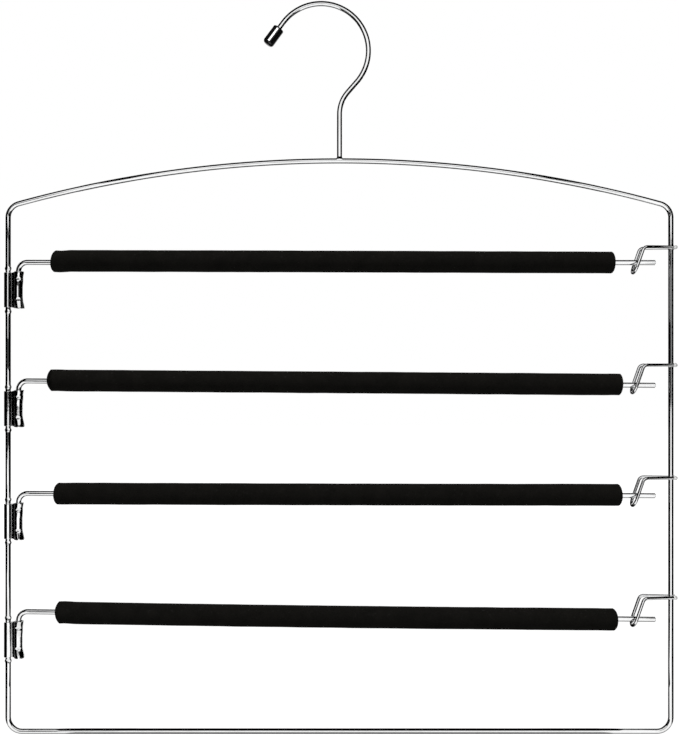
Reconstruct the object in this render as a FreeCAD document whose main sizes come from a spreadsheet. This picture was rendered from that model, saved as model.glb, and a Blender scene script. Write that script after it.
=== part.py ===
import enum
import math
import os

import FreeCAD
import Part
import Sketcher
from FreeCAD import Placement, Rotation, Vector

# Trouser hanger with four padded swing arms. The origin is the rail seat, the inner top of the
# hook. X runs along the arms from hinge to catch, Y from front to back, and Z is up. The tiers are
# numbered from the top down.

# Driving sizes in millimetres and degrees: name, value, what it measures.
SIZES = (
    ("frame_wire", 3.0, "diameter of the frame wire"),
    ("frame_width", 376.1, "between the axes of the two uprights"),
    ("frame_height", 323.6, "crown axis down to the bottom bar axis"),
    ("arch_rise", 26.0, "crown axis above the shoulders"),
    ("corner_radius", 8.0, "wire axis radius at the four corners"),
    ("ear_width", 3.9, "width of a pinched ear on the left upright"),
    ("ear_thickness", 2.2, "thickness of a pinched ear"),
    ("ear_length", 2.8, "height of a pinched ear"),
    ("ear_gap", 0.3, "play between an ear and its bracket"),
    ("hook_wire", 3.0, "diameter of the hook wire"),
    ("hook_radius", 26.8, "wire axis radius of the hook"),
    ("hook_height", 87.7, "rail seat above the crown axis"),
    ("hook_tip_angle", 143.5, "where the hook's arc ends at the tip, from +X"),
    ("hook_neck_angle", 41.0, "how far below +X the arc ends at the neck"),
    ("hook_neck_radius", 19.0, "wire axis radius of the neck's reverse bend"),
    ("stem_offset", 10.4, "stem beside the rail seat"),
    ("tip_bare", 3.9, "bare wire between the hook's arc and the cap"),
    ("weld_width", 4.2, "diameter of the weld flare at the stem's foot"),
    ("weld_height", 2.0, "height of the weld flare"),
    ("cap_length", 11.6, "length of the tip cap"),
    ("cap_diameter", 6.5, "outer diameter of the tip cap"),
    ("cap_end_radius", 1.9, "rounding of the tip cap's blunt end"),
    ("cap_end_wall", 1.6, "solid end of the tip cap"),
    ("cap_fit", 0.03, "clearance of the cap on the wire"),
    ("arm_wire", 3.0, "diameter of the arm wire"),
    ("arm_bend_radius", 5.0, "wire axis radius of the arm's bend"),
    ("arm_end_gap", 8.9, "arm's free end short of the right upright's axis"),
    ("arm_end_chamfer", 0.3, "broken edge of the cut end"),
    ("hinge_offset", 5.9, "between the axes of the bracket's barrels"),
    ("bracket_gap", 0.2, "bracket's top below the end of the arm's bend"),
    ("bracket_height", 21.0, "height of the bracket"),
    ("leg_recess", 0.3, "leg's end above the bracket's lower edge"),
    ("strip_thickness", 0.75, "sheet strip of the bracket"),
    ("strip_ply_gap", 0.16, "between the two plies of the web"),
    ("strip_end_gap", 0.6, "between the strip's two ends"),
    ("strip_fold_radius", 0.4, "inside radius where a barrel runs into the web"),
    ("hinge_fit", 0.05, "radial running clearance on the upright"),
    ("leg_fit", 0.3, "radial clearance round the leg, taken up by the dimples"),
    ("dimple_radius", 0.9, "ball radius of a crimp dimple"),
    ("dimple_depth", 0.5, "depth of a crimp dimple"),
    ("dimple_fit", 0.02, "clearance of a dimple in its dent"),
    ("dimple_top", 4.1, "upper dimple below the bracket's top"),
    ("dimple_pitch", 11.7, "between the two dimples"),
    ("sleeve_diameter", 12.4, "outer diameter of the foam sleeve"),
    ("sleeve_fit", 0.1, "radial clearance of the sleeve on the arm"),
    ("sleeve_bulge", 2.4, "how far a sleeve's end rounds out"),
    ("catch_wire", 1.8, "diameter of the catch wire"),
    ("catch_tail", 3.1, "cut ends past the right upright's axis"),
    ("catch_reach", 16.3, "bend of the catch before the right upright's axis"),
    ("catch_lean_angle", 19.5, "lean of the fork towards the hinge"),
    ("catch_spread", 8.5, "between the axes of the strands at the fork"),
    ("catch_bend_radius", 2.7, "wire axis radius where the strands turn down"),
    ("weld_sink", 0.15, "set-down of a strand in the upright's weld"),
    ("tier_1_drop", 57.6, "first arm's axis at the hinge below the crown axis"),
    ("tier_2_drop", 124.8, "second arm's axis below the crown axis"),
    ("tier_3_drop", 188.7, "third arm's axis below the crown axis"),
    ("tier_4_drop", 255.7, "fourth arm's axis below the crown axis"),
    ("tier_1_droop_angle", 0.02, "first arm's slope down towards its catch"),
    ("tier_2_droop_angle", 0.4, "second arm's slope"),
    ("tier_3_droop_angle", 0.2, "third arm's slope"),
    ("tier_4_droop_angle", 0.7, "fourth arm's slope"),
    ("tier_1_sleeve_start", 24.7, "first sleeve's near end from the left upright's axis"),
    ("tier_2_sleeve_start", 22.2, "second sleeve's near end"),
    ("tier_3_sleeve_start", 26.2, "third sleeve's near end"),
    ("tier_4_sleeve_start", 26.9, "fourth sleeve's near end"),
    ("tier_1_sleeve_stop", 32.0, "first sleeve's far end from the right upright's axis"),
    ("tier_2_sleeve_stop", 27.25, "second sleeve's far end"),
    ("tier_3_sleeve_stop", 27.9, "third sleeve's far end"),
    ("tier_4_sleeve_stop", 30.4, "fourth sleeve's far end"),
    ("tier_1_catch_rise", 8.55, "first catch's strands above the arm axis"),
    ("tier_2_catch_rise", 11.4, "second catch's strands above the arm axis"),
    ("tier_3_catch_rise", 10.2, "third catch's strands above the arm axis"),
    ("tier_4_catch_rise", 12.55, "fourth catch's strands above the arm axis"),
    ("tier_1_catch_gap", 3.6, "clear space under the first arm in its fork"),
    ("tier_2_catch_gap", 2.0, "clear space under the second arm"),
    ("tier_3_catch_gap", 3.2, "clear space under the third arm"),
    ("tier_4_catch_gap", 1.1, "clear space under the fourth arm"),
)

# Formulas that several pieces share. Each reads the sheet, so a changed size carries through.
LEFT_UPRIGHT = "(Sizes.stem_offset - Sizes.frame_width / 2)"
RIGHT_UPRIGHT = "(Sizes.stem_offset + Sizes.frame_width / 2)"
LEG_AXIS = f"({LEFT_UPRIGHT} + Sizes.hinge_offset)"
HOOK_CENTRE = "(Sizes.hook_wire / 2 - Sizes.hook_radius)"
TIP_LENGTH = "(Sizes.tip_bare + Sizes.cap_length - Sizes.cap_end_wall - Sizes.cap_fit)"
CAP_BORE = "(Sizes.hook_wire / 2 + Sizes.cap_fit)"
ARM_REACH = "(Sizes.frame_width - Sizes.hinge_offset - Sizes.arm_end_gap)"
UPRIGHT_BARREL_BORE = "(Sizes.frame_wire / 2 + Sizes.hinge_fit)"
UPRIGHT_BARREL = f"({UPRIGHT_BARREL_BORE} + Sizes.strip_thickness)"
LEG_BARREL_BORE = "(Sizes.arm_wire / 2 + Sizes.leg_fit)"
LEG_BARREL = f"({LEG_BARREL_BORE} + Sizes.strip_thickness)"
WEB_INNER = "(Sizes.strip_ply_gap / 2)"
WEB_OUTER = f"({WEB_INNER} + Sizes.strip_thickness)"
WEB_LENGTH = (
    f"(Sizes.hinge_offset - sqrt({UPRIGHT_BARREL} ^ 2 - {WEB_OUTER} ^ 2)"
    f" - sqrt({LEG_BARREL} ^ 2 - {WEB_OUTER} ^ 2))"
)
# A fold is rounded by no more than a third of the web, so that its two rounds never meet.
FOLD_RADIUS = f"min(Sizes.strip_fold_radius; {WEB_LENGTH} / 3)"
# A dimple is pressed by a ball whose centre stands in front of the leg's barrel. The bump inside is
# rooted in the inner half of the sheet, and the dent starts half-way from the ball's centre to the
# barrel, in the open.
BALL_TO_BARREL = "(Sizes.dimple_radius - Sizes.dimple_depth)"
DIMPLE_CENTRE = f"({LEG_BARREL} + {BALL_TO_BARREL})"
BUMP_RADIUS = "(Sizes.dimple_radius + Sizes.strip_thickness)"
BUMP_BASE = f"({BALL_TO_BARREL} + Sizes.strip_thickness / 2)"
DENT_BASE = f"({BALL_TO_BARREL} / 2)"


def arm_height(tier):
    """Height of a tier's arm axis where it meets its leg's axis."""
    return f"(-Sizes.hook_height - Sizes.tier_{tier}_drop)"


def bracket_drop(tier):
    """Bracket's top below the arm axis: the bend's run down, and a small gap."""
    turn = f"tan(45 + Sizes.tier_{tier}_droop_angle / 2)"
    return f"(Sizes.arm_bend_radius * {turn} + Sizes.bracket_gap)"


doc = FreeCAD.newDocument("trouser_hanger")
sheet = doc.addObject("Spreadsheet::Sheet", "Sizes")
for row, (name, number, meaning) in enumerate(SIZES, start=1):
    sheet.set(f"A{row}", meaning)
    sheet.set(f"B{row}", str(number))
    sheet.setAlias(f"B{row}", name)
doc.recompute()


def size(formula):
    """The number that a formula of sheet sizes gives now."""
    return float(sheet.evalExpression(formula))


def new_body(label, x, z, turn=None):
    """A body whose own origin stands at (x, 0, z), turned about Y."""
    body = doc.addObject("PartDesign::Body", label)
    body.Label = label
    # A first turn about Y sets the axis that the formula's angle then turns about.
    body.Placement = Placement(Vector(0, 0, 0), Rotation(Vector(0, 1, 0), 1))
    body.setExpression("Placement.Base.x", x)
    body.setExpression("Placement.Base.z", z)
    body.setExpression("Placement.Rotation.Angle", turn or "0")
    return body


def new_sketch(body, role, name, offset=None):
    """A sketch on one of the body's own origin planes, set off along the plane's normal."""
    sketch = body.newObject("Sketcher::SketchObject", name)
    plane = next(feature for feature in body.Origin.OriginFeatures if feature.Role == role)
    sketch.AttachmentSupport = [(plane, "")]
    sketch.MapMode = "FlatFace"
    if offset:
        sketch.setExpression("AttachmentOffset.Base.z", offset)
    return sketch


class Spot(enum.IntEnum):
    """Where a constraint takes hold: on an element, or on the sketch's own axes."""

    START = 1
    END = 2
    CENTRE = 3
    X_AXIS = -1
    Y_AXIS = -2


START, END, CENTRE = Spot.START, Spot.END, Spot.CENTRE
X_AXIS, Y_AXIS = Spot.X_AXIS, Spot.Y_AXIS
ORIGIN = (X_AXIS, START)


def line(sketch, start, end, construction=False):
    """A straight edge, or a construction line."""
    segment = Part.LineSegment(Vector(*start, 0), Vector(*end, 0))
    return sketch.addGeometry(segment, construction)


def arc(sketch, centre, radius, first, last):
    """An arc that runs counter-clockwise from the first angle to the last, in degrees."""
    circle = Part.Circle(Vector(*centre, 0), Vector(0, 0, 1), radius)
    return sketch.addGeometry(Part.ArcOfCircle(circle, math.radians(first), math.radians(last)))


def hold(sketch, *constraints):
    """Geometric constraints, each a kind followed by its elements."""
    for constraint in constraints:
        sketch.addConstraint(Sketcher.Constraint(*constraint))


def dimension(sketch, name, formula, kind, *elements):
    """A driving dimension, bound to a formula of sheet sizes."""
    number = size(formula)
    if kind == "Angle":
        number = math.radians(number)
    index = sketch.addConstraint(Sketcher.Constraint(kind, *elements, number))
    sketch.renameConstraint(index, name)
    sketch.setExpression(f"Constraints.{name}", formula)


def wire_section(body, role, name, diameter, x="0", y="0", offset=None):
    """The round section of a wire, at (x, y) in its sketch."""
    sketch = new_sketch(body, role, name, offset)
    circle = Part.Circle(Vector(size(x), size(y), 0), Vector(0, 0, 1), size(diameter) / 2)
    ring = sketch.addGeometry(circle)
    dimension(sketch, "diameter", diameter, "Diameter", ring)
    for axis, kind, place in ((Y_AXIS, "DistanceX", x), (X_AXIS, "DistanceY", y)):
        if place == "0":
            hold(sketch, ("PointOnObject", ring, CENTRE, axis))
        else:
            dimension(sketch, kind, place, kind, *ORIGIN, ring, CENTRE)
    return sketch


def pipe(body, name, section, path):
    """A wire: its section carried along its path."""
    feature = body.newObject("PartDesign::AdditivePipe", name)
    feature.Profile = section
    feature.Spine = path
    return feature


def make_frame(tiers):
    """One wire bent to a closed loop. Half of it, from the crown to the middle of the bottom bar,
    is mirrored, and the left upright is pinched to ears above and below each bracket."""
    body = new_body("frame_wire", "Sizes.stem_offset", "-Sizes.hook_height")
    half = size("Sizes.frame_width / 2")
    height = size("Sizes.frame_height")
    bend = size("Sizes.corner_radius")
    arch_formula = "(Sizes.frame_width ^ 2 / 4 + Sizes.arch_rise ^ 2) / (2 * Sizes.arch_rise)"
    arch = size(arch_formula)
    shoulder = math.sqrt((arch - bend) ** 2 - (half - bend) ** 2) - arch
    slope = math.degrees(math.atan2(shoulder + arch, half - bend))

    path = new_sketch(body, "XZ_Plane", "half_loop")
    top = arc(path, (0, -arch), arch, slope, 90)
    upper_corner = arc(path, (half - bend, shoulder), bend, 0, slope)
    upright = line(path, (half, shoulder), (half, bend - height))
    lower_corner = arc(path, (half - bend, bend - height), bend, -90, 0)
    bottom = line(path, (half - bend, -height), (0, -height))
    hold(
        path,
        ("Coincident", top, END, *ORIGIN),
        ("PointOnObject", top, CENTRE, Y_AXIS),
        ("Tangent", top, START, upper_corner, END),
        ("Tangent", upper_corner, START, upright, START),
        ("Tangent", upright, END, lower_corner, END),
        ("Tangent", lower_corner, START, bottom, START),
        ("PointOnObject", bottom, END, Y_AXIS),
        ("Vertical", upright),
        ("Horizontal", bottom),
        ("Equal", upper_corner, lower_corner),
    )
    dimension(path, "arch", arch_formula, "Radius", top)
    dimension(path, "corner", "Sizes.corner_radius", "Radius", upper_corner)
    dimension(path, "half_width", "Sizes.frame_width / 2", "DistanceX", *ORIGIN, upright, START)
    dimension(path, "height", "Sizes.frame_height", "DistanceY", bottom, END, *ORIGIN)
    section = wire_section(body, "YZ_Plane", "frame_section", "Sizes.frame_wire")
    pipe(body, "half_frame", section, path)
    doc.recompute()

    mirror = body.newObject("PartDesign::Mirrored", "whole_frame")
    mirror.Originals = [doc.half_frame]
    mirror.MirrorPlane = (path, ["V_Axis"])
    body.Tip = mirror
    doc.recompute()

    for tier in tiers:
        bracket_top = f"(-Sizes.tier_{tier}_drop - {bracket_drop(tier)})"
        off_bracket = "(Sizes.ear_gap + Sizes.ear_length / 2)"
        for side, z in (
            ("upper", f"{bracket_top} + {off_bracket}"),
            ("lower", f"{bracket_top} - Sizes.bracket_height - {off_bracket}"),
        ):
            ear = body.newObject("PartDesign::AdditiveEllipsoid", f"{side}_ear_{tier}")
            ear.setExpression("Radius1", "Sizes.ear_length / 2")
            ear.setExpression("Radius2", "Sizes.ear_width / 2")
            ear.setExpression("Radius3", "Sizes.ear_thickness / 2")
            ear.setExpression("Placement.Base.x", "-Sizes.frame_width / 2")
            ear.setExpression("Placement.Base.z", z)
    return body


def make_hook():
    """Swan-neck hook: an open circle, a straight neck, a reverse bend and a stem whose foot is
    flared by its weld and saddled on the crown wire."""
    body = new_body("hook_wire", "0", "0")
    radius = size("Sizes.hook_radius")
    centre = size(HOOK_CENTRE)
    tip = size("Sizes.hook_tip_angle")
    neck = size("Sizes.hook_neck_angle")
    bend = size("Sizes.hook_neck_radius")
    stem_x = size("Sizes.stem_offset")
    foot = -size("Sizes.hook_height")
    tip_length = size(TIP_LENGTH)

    def on_circle(angle):
        turn = math.radians(angle)
        return radius * math.cos(turn), centre + radius * math.sin(turn)

    lean = math.radians(neck)
    run = (radius * math.cos(lean) - bend * (1 - math.cos(lean)) - stem_x) / math.sin(lean)
    neck_top = on_circle(-neck)
    neck_end = (neck_top[0] - run * math.sin(lean), neck_top[1] - run * math.cos(lean))
    stem_top = neck_end[1] - bend * math.sin(lean)
    tip_start = on_circle(tip)
    tip_turn = math.radians(tip + 90)
    tip_end = (
        tip_start[0] + tip_length * math.cos(tip_turn),
        tip_start[1] + tip_length * math.sin(tip_turn),
    )

    path = new_sketch(body, "XZ_Plane", "hook_path")
    bow = arc(path, (0, centre), radius, -neck, tip)
    tip_run = line(path, tip_start, tip_end)
    neck_run = line(path, neck_top, neck_end)
    reverse = arc(path, (stem_x + bend, stem_top), bend, 180 - neck, 180)
    stem = line(path, (stem_x, stem_top), (stem_x, foot))
    hold(
        path,
        ("PointOnObject", bow, CENTRE, Y_AXIS),
        ("Tangent", bow, END, tip_run, START),
        ("Tangent", bow, START, neck_run, START),
        ("Tangent", neck_run, END, reverse, START),
        ("Tangent", reverse, END, stem, START),
        ("Vertical", stem),
    )
    dimension(path, "bow_drop", f"-{HOOK_CENTRE}", "DistanceY", bow, CENTRE, *ORIGIN)
    dimension(path, "bow_radius", "Sizes.hook_radius", "Radius", bow)
    dimension(path, "neck_slope", "-90 - Sizes.hook_neck_angle", "Angle", neck_run)
    dimension(path, "tip_slope", "Sizes.hook_tip_angle - 270", "Angle", tip_run)
    dimension(path, "tip_length", TIP_LENGTH, "Distance", tip_run)
    dimension(path, "reverse_radius", "Sizes.hook_neck_radius", "Radius", reverse)
    dimension(path, "stem_offset", "Sizes.stem_offset", "DistanceX", *ORIGIN, stem, END)
    dimension(path, "height", "Sizes.hook_height", "DistanceY", stem, END, *ORIGIN)
    section = wire_section(
        body,
        "XY_Plane",
        "hook_section",
        "Sizes.hook_wire",
        x="Sizes.stem_offset",
        offset="-Sizes.hook_height",
    )
    pipe(body, "bent_hook", section, path)

    # The flare rises from half-way up the crown wire's upper half.
    flare = body.newObject("PartDesign::AdditiveCone", "weld_flare")
    flare.setExpression("Radius1", "Sizes.weld_width / 2")
    flare.setExpression("Radius2", "Sizes.hook_wire / 2")
    flare.setExpression("Height", "Sizes.frame_wire / 4 + Sizes.weld_height")
    flare.setExpression("Placement.Base.x", "Sizes.stem_offset")
    flare.setExpression("Placement.Base.z", "Sizes.frame_wire / 4 - Sizes.hook_height")

    # The saddle is cut right across the flare, by the crown wire's own roundness.
    saddle = body.newObject("PartDesign::SubtractiveCylinder", "crown_saddle")
    saddle.Placement = Placement(Vector(0, 0, 0), Rotation(Vector(0, 1, 0), 90))
    saddle.setExpression("Radius", "Sizes.frame_wire / 2")
    saddle.setExpression("Height", "2 * Sizes.weld_width")
    saddle.setExpression("Placement.Base.x", "Sizes.stem_offset - Sizes.weld_width")
    saddle.setExpression("Placement.Base.z", "-Sizes.hook_height")
    return body


def make_cap():
    """Vinyl cap on the hook's tip: a tube with a blunt closed end, turned about the tip's axis."""
    along = "Sizes.hook_tip_angle"
    body = new_body(
        "hook_tip_cap",
        f"Sizes.hook_radius * cos({along}) - Sizes.tip_bare * sin({along})",
        f"{HOOK_CENTRE} + Sizes.hook_radius * sin({along}) + Sizes.tip_bare * cos({along})",
        f"270 - {along}",
    )
    length = size("Sizes.cap_length")
    outer = size("Sizes.cap_diameter / 2")
    bore = size(CAP_BORE)
    depth = size("Sizes.cap_length - Sizes.cap_end_wall")
    rounding = size("Sizes.cap_end_radius")

    half = new_sketch(body, "XZ_Plane", "cap_half")
    mouth = line(half, (0, bore), (0, outer))
    wall = line(half, (0, outer), (length - rounding, outer))
    corner = arc(half, (length - rounding, outer - rounding), rounding, 0, 90)
    nose = line(half, (length, outer - rounding), (length, 0))
    axis_run = line(half, (length, 0), (depth, 0))
    floor = line(half, (depth, 0), (depth, bore))
    inside = line(half, (depth, bore), (0, bore))
    hold(
        half,
        ("Coincident", mouth, END, wall, START),
        ("Tangent", wall, END, corner, END),
        ("Tangent", corner, START, nose, START),
        ("Coincident", nose, END, axis_run, START),
        ("Coincident", axis_run, END, floor, START),
        ("Coincident", floor, END, inside, START),
        ("Coincident", inside, END, mouth, START),
        ("PointOnObject", axis_run, START, X_AXIS),
        ("PointOnObject", axis_run, END, X_AXIS),
        ("PointOnObject", mouth, START, Y_AXIS),
        ("Vertical", mouth),
        ("Vertical", nose),
        ("Vertical", floor),
        ("Horizontal", wall),
        ("Horizontal", inside),
    )
    dimension(half, "end_rounding", "Sizes.cap_end_radius", "Radius", corner)
    dimension(half, "outer_radius", "Sizes.cap_diameter / 2", "DistanceY", *ORIGIN, mouth, END)
    dimension(half, "bore_radius", CAP_BORE, "DistanceY", *ORIGIN, mouth, START)
    dimension(half, "length", "Sizes.cap_length", "DistanceX", *ORIGIN, axis_run, START)
    dimension(half, "end_wall", "Sizes.cap_end_wall", "DistanceX", axis_run, END, axis_run, START)
    turned = body.newObject("PartDesign::Revolution", "turned_cap")
    turned.Profile = half
    turned.ReferenceAxis = (half, ["H_Axis"])
    return body


def strip_outline(body, tier):
    """The bracket's strip from above: round the upright, two plies side by side as the web, and
    round the leg until its two ends nearly meet."""
    sketch = new_sketch(body, "XY_Plane", f"strip_{tier}")
    offset = size("Sizes.hinge_offset")
    web_in = size(WEB_INNER)
    web_out = size(WEB_OUTER)
    end = size("Sizes.strip_end_gap / 2")
    upright_in = size(UPRIGHT_BARREL_BORE)
    upright_out = size(UPRIGHT_BARREL)
    leg_in = size(LEG_BARREL_BORE)
    leg_out = size(LEG_BARREL)

    def rise(height, radius):
        return math.degrees(math.asin(height / radius))

    def foot(height, radius):
        return math.sqrt(radius ** 2 - height ** 2)

    outer_web = rise(web_out, upright_out)
    inner_web = rise(web_in, upright_in)
    round_outer = arc(sketch, (0, 0), upright_out, outer_web, -outer_web)
    round_inner = arc(sketch, (0, 0), upright_in, inner_web, -inner_web)
    for ring in (round_outer, round_inner):
        hold(sketch, ("Coincident", ring, CENTRE, *ORIGIN))
    dimension(sketch, "upright_outer", UPRIGHT_BARREL, "Radius", round_outer)
    dimension(sketch, "upright_bore", UPRIGHT_BARREL_BORE, "Radius", round_inner)

    leg_arcs = []
    for side, sign in (("back", 1), ("front", -1)):
        outer_angles = (rise(end, leg_out), 180 - rise(web_out, leg_out))
        inner_angles = (rise(end, leg_in), 180 - rise(web_in, leg_in))
        # A counter-clockwise arc starts at the strip's end on the back and at the web on the front.
        end_point, web_point = (START, END) if sign > 0 else (END, START)
        if sign < 0:
            outer_angles = (-outer_angles[1], -outer_angles[0])
            inner_angles = (-inner_angles[1], -inner_angles[0])
        outer = arc(sketch, (offset, 0), leg_out, *outer_angles)
        inner = arc(sketch, (offset, 0), leg_in, *inner_angles)
        skin = line(
            sketch,
            (foot(web_out, upright_out), sign * web_out),
            (offset - foot(web_out, leg_out), sign * web_out),
        )
        seam = line(
            sketch,
            (foot(web_in, upright_in), sign * web_in),
            (offset - foot(web_in, leg_in), sign * web_in),
        )
        cut_end = line(
            sketch,
            (offset + foot(end, leg_in), sign * end),
            (offset + foot(end, leg_out), sign * end),
        )
        loop_point = START if sign > 0 else END
        hold(
            sketch,
            ("Coincident", skin, START, round_outer, loop_point),
            ("Coincident", skin, END, outer, web_point),
            ("Coincident", seam, START, round_inner, loop_point),
            ("Coincident", seam, END, inner, web_point),
            ("Coincident", cut_end, START, inner, end_point),
            ("Coincident", cut_end, END, outer, end_point),
            ("Horizontal", skin),
            ("Horizontal", seam),
            ("Horizontal", cut_end),
        )
        for name, formula, edge in (
            ("skin", WEB_OUTER, skin),
            ("seam", WEB_INNER, seam),
            ("cut", "Sizes.strip_end_gap / 2", cut_end),
        ):
            ends = (*ORIGIN, edge, START) if sign > 0 else (edge, START, *ORIGIN)
            dimension(sketch, f"{side}_{name}", formula, "DistanceY", *ends)
        leg_arcs.append((outer, inner))

    (back_outer, back_inner), (front_outer, front_inner) = leg_arcs
    hold(
        sketch,
        ("PointOnObject", back_outer, CENTRE, X_AXIS),
        ("Coincident", back_inner, CENTRE, back_outer, CENTRE),
        ("Coincident", front_outer, CENTRE, back_outer, CENTRE),
        ("Coincident", front_inner, CENTRE, back_outer, CENTRE),
        ("Equal", front_outer, back_outer),
        ("Equal", front_inner, back_inner),
    )
    dimension(sketch, "leg_offset", "Sizes.hinge_offset", "DistanceX", *ORIGIN, back_outer, CENTRE)
    dimension(sketch, "leg_outer", LEG_BARREL, "Radius", back_outer)
    dimension(sketch, "leg_bore", LEG_BARREL_BORE, "Radius", back_inner)
    return sketch


def ball_cap(body, name, radius, base):
    """Half the section of a ball's cap about the dimple's axis: the part of the ball between a
    plane at depth base from the ball's centre and the ball's top, facing the leg."""
    sketch = new_sketch(body, "YZ_Plane", name, "Sizes.hinge_offset")
    centre = (-size(DIMPLE_CENTRE), -size("Sizes.dimple_top"))
    reach = size(radius)
    depth = size(base)
    rim = math.sqrt(reach ** 2 - depth ** 2)
    axis_run = line(sketch, (centre[0] + depth, centre[1]), (centre[0] + reach, centre[1]))
    flank = line(sketch, (centre[0] + depth, centre[1]), (centre[0] + depth, centre[1] + rim))
    dome = arc(sketch, centre, reach, 0, math.degrees(math.atan2(rim, depth)))
    axis = line(sketch, centre, (centre[0] + reach, centre[1]), construction=True)
    hold(
        sketch,
        ("Coincident", axis_run, START, flank, START),
        ("Coincident", axis_run, END, dome, START),
        ("Coincident", flank, END, dome, END),
        ("Coincident", axis, START, dome, CENTRE),
        ("Coincident", axis, END, dome, START),
        ("Horizontal", axis_run),
        ("Horizontal", axis),
        ("Vertical", flank),
    )
    dimension(sketch, "centre_depth", DIMPLE_CENTRE, "DistanceX", dome, CENTRE, *ORIGIN)
    dimension(sketch, "centre_height", "Sizes.dimple_top", "DistanceY", dome, CENTRE, *ORIGIN)
    dimension(sketch, "ball", radius, "Radius", dome)
    dimension(sketch, "base", base, "DistanceX", dome, CENTRE, axis_run, START)
    return sketch


# Two points this close are the same corner.
NEAR = 1e-4


def make_bracket(tier):
    """Sheet strip folded to two barrels, rounded where they run into the web. The leg's barrel is
    crimped from the front by two pressed dimples: a dent outside, a bump of the same sheet inside."""
    body = new_body(
        f"hinge_bracket_{tier}", LEFT_UPRIGHT, f"{arm_height(tier)} - {bracket_drop(tier)}"
    )
    fold = body.newObject("PartDesign::Pad", f"folded_strip_{tier}")
    fold.Profile = strip_outline(body, tier)
    fold.setExpression("Length", "Sizes.bracket_height")
    fold.Reversed = True
    doc.recompute()

    web = size(WEB_OUTER)
    web_start = math.sqrt(size(UPRIGHT_BARREL) ** 2 - web ** 2)
    corners = [
        Vector(x, sign * web, -size("Sizes.bracket_height") / 2)
        for x in (web_start, web_start + size(WEB_LENGTH))
        for sign in (1, -1)
    ]
    creases = [
        f"Edge{index}"
        for index, edge in enumerate(fold.Shape.Edges, start=1)
        if any(edge.CenterOfMass.isEqual(corner, NEAR) for corner in corners)
    ]
    rounds = body.newObject("PartDesign::Fillet", f"fold_rounds_{tier}")
    rounds.Base = (fold, creases)
    rounds.setExpression("Radius", FOLD_RADIUS)
    doc.recompute()

    bump = body.newObject("PartDesign::Revolution", f"dimple_bump_{tier}")
    bump.Profile = ball_cap(body, f"bump_half_{tier}", BUMP_RADIUS, BUMP_BASE)
    dent = body.newObject("PartDesign::Groove", f"dimple_dent_{tier}")
    dent.Profile = ball_cap(body, f"dent_half_{tier}", "Sizes.dimple_radius", DENT_BASE)
    for feature in (bump, dent):
        feature.ReferenceAxis = (feature.Profile[0], ["Axis0"])
    doc.recompute()

    crimps = body.newObject("PartDesign::LinearPattern", f"crimps_{tier}")
    crimps.Originals = [bump, dent]
    crimps.Direction = (bump.Profile[0], ["V_Axis"])
    crimps.Reversed = True
    crimps.setExpression("Length", "Sizes.dimple_pitch")
    crimps.Occurrences = 2
    body.Tip = crimps
    return body


def make_arm(tier):
    """Arm wire: a leg in the bracket with a dent under each dimple, a bend, and the long run that
    droops a little towards its cut end in the catch."""
    body = new_body(f"swing_arm_{tier}", LEG_AXIS, arm_height(tier))
    droop_size = f"Sizes.tier_{tier}_droop_angle"
    droop = math.radians(size(droop_size))
    bend = size("Sizes.arm_bend_radius")
    leg_formula = f"{bracket_drop(tier)} + Sizes.bracket_height - Sizes.leg_recess"
    leg_depth = size(leg_formula)
    reach = size(ARM_REACH)
    tangent = bend * math.tan(math.pi / 4 + droop / 2)

    path = new_sketch(body, "XZ_Plane", f"arm_path_{tier}")
    leg = line(path, (0, -leg_depth), (0, -tangent))
    elbow = arc(path, (bend, -tangent), bend, 90 - math.degrees(droop), 180)
    run = line(
        path,
        (tangent * math.cos(droop), -tangent * math.sin(droop)),
        (reach, -reach * math.tan(droop)),
    )
    hold(
        path,
        ("PointOnObject", leg, START, Y_AXIS),
        ("Vertical", leg),
        ("Tangent", leg, END, elbow, END),
        ("Tangent", elbow, START, run, START),
        ("PointOnObject", *ORIGIN, run),
    )
    dimension(path, "leg_depth", leg_formula, "DistanceY", leg, START, *ORIGIN)
    dimension(path, "bend_radius", "Sizes.arm_bend_radius", "Radius", elbow)
    dimension(path, "droop", f"-{droop_size}", "Angle", run)
    dimension(path, "reach", ARM_REACH, "DistanceX", *ORIGIN, run, END)
    section = wire_section(
        body, "XY_Plane", f"arm_section_{tier}", "Sizes.arm_wire", offset=f"-({leg_formula})"
    )
    pipe(body, f"bent_arm_{tier}", section, path)
    doc.recompute()

    bracket_top = f"-{bracket_drop(tier)}"
    for name, depth in (
        ("upper", "Sizes.dimple_top"),
        ("lower", "(Sizes.dimple_top + Sizes.dimple_pitch)"),
    ):
        dent = body.newObject("PartDesign::SubtractiveSphere", f"{name}_dent_{tier}")
        dent.setExpression("Radius", f"{BUMP_RADIUS} + Sizes.dimple_fit")
        dent.setExpression("Placement.Base.y", f"-{DIMPLE_CENTRE}")
        dent.setExpression("Placement.Base.z", f"{bracket_top} - {depth}")
    doc.recompute()

    base = body.Tip
    edges = base.Shape.Edges
    cut_end = max(range(len(edges)), key=lambda index: edges[index].BoundBox.XMin)
    broken = body.newObject("PartDesign::Chamfer", f"cut_end_{tier}")
    broken.Base = (base, [f"Edge{cut_end + 1}"])
    broken.setExpression("Size", "Sizes.arm_end_chamfer")
    return body


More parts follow.
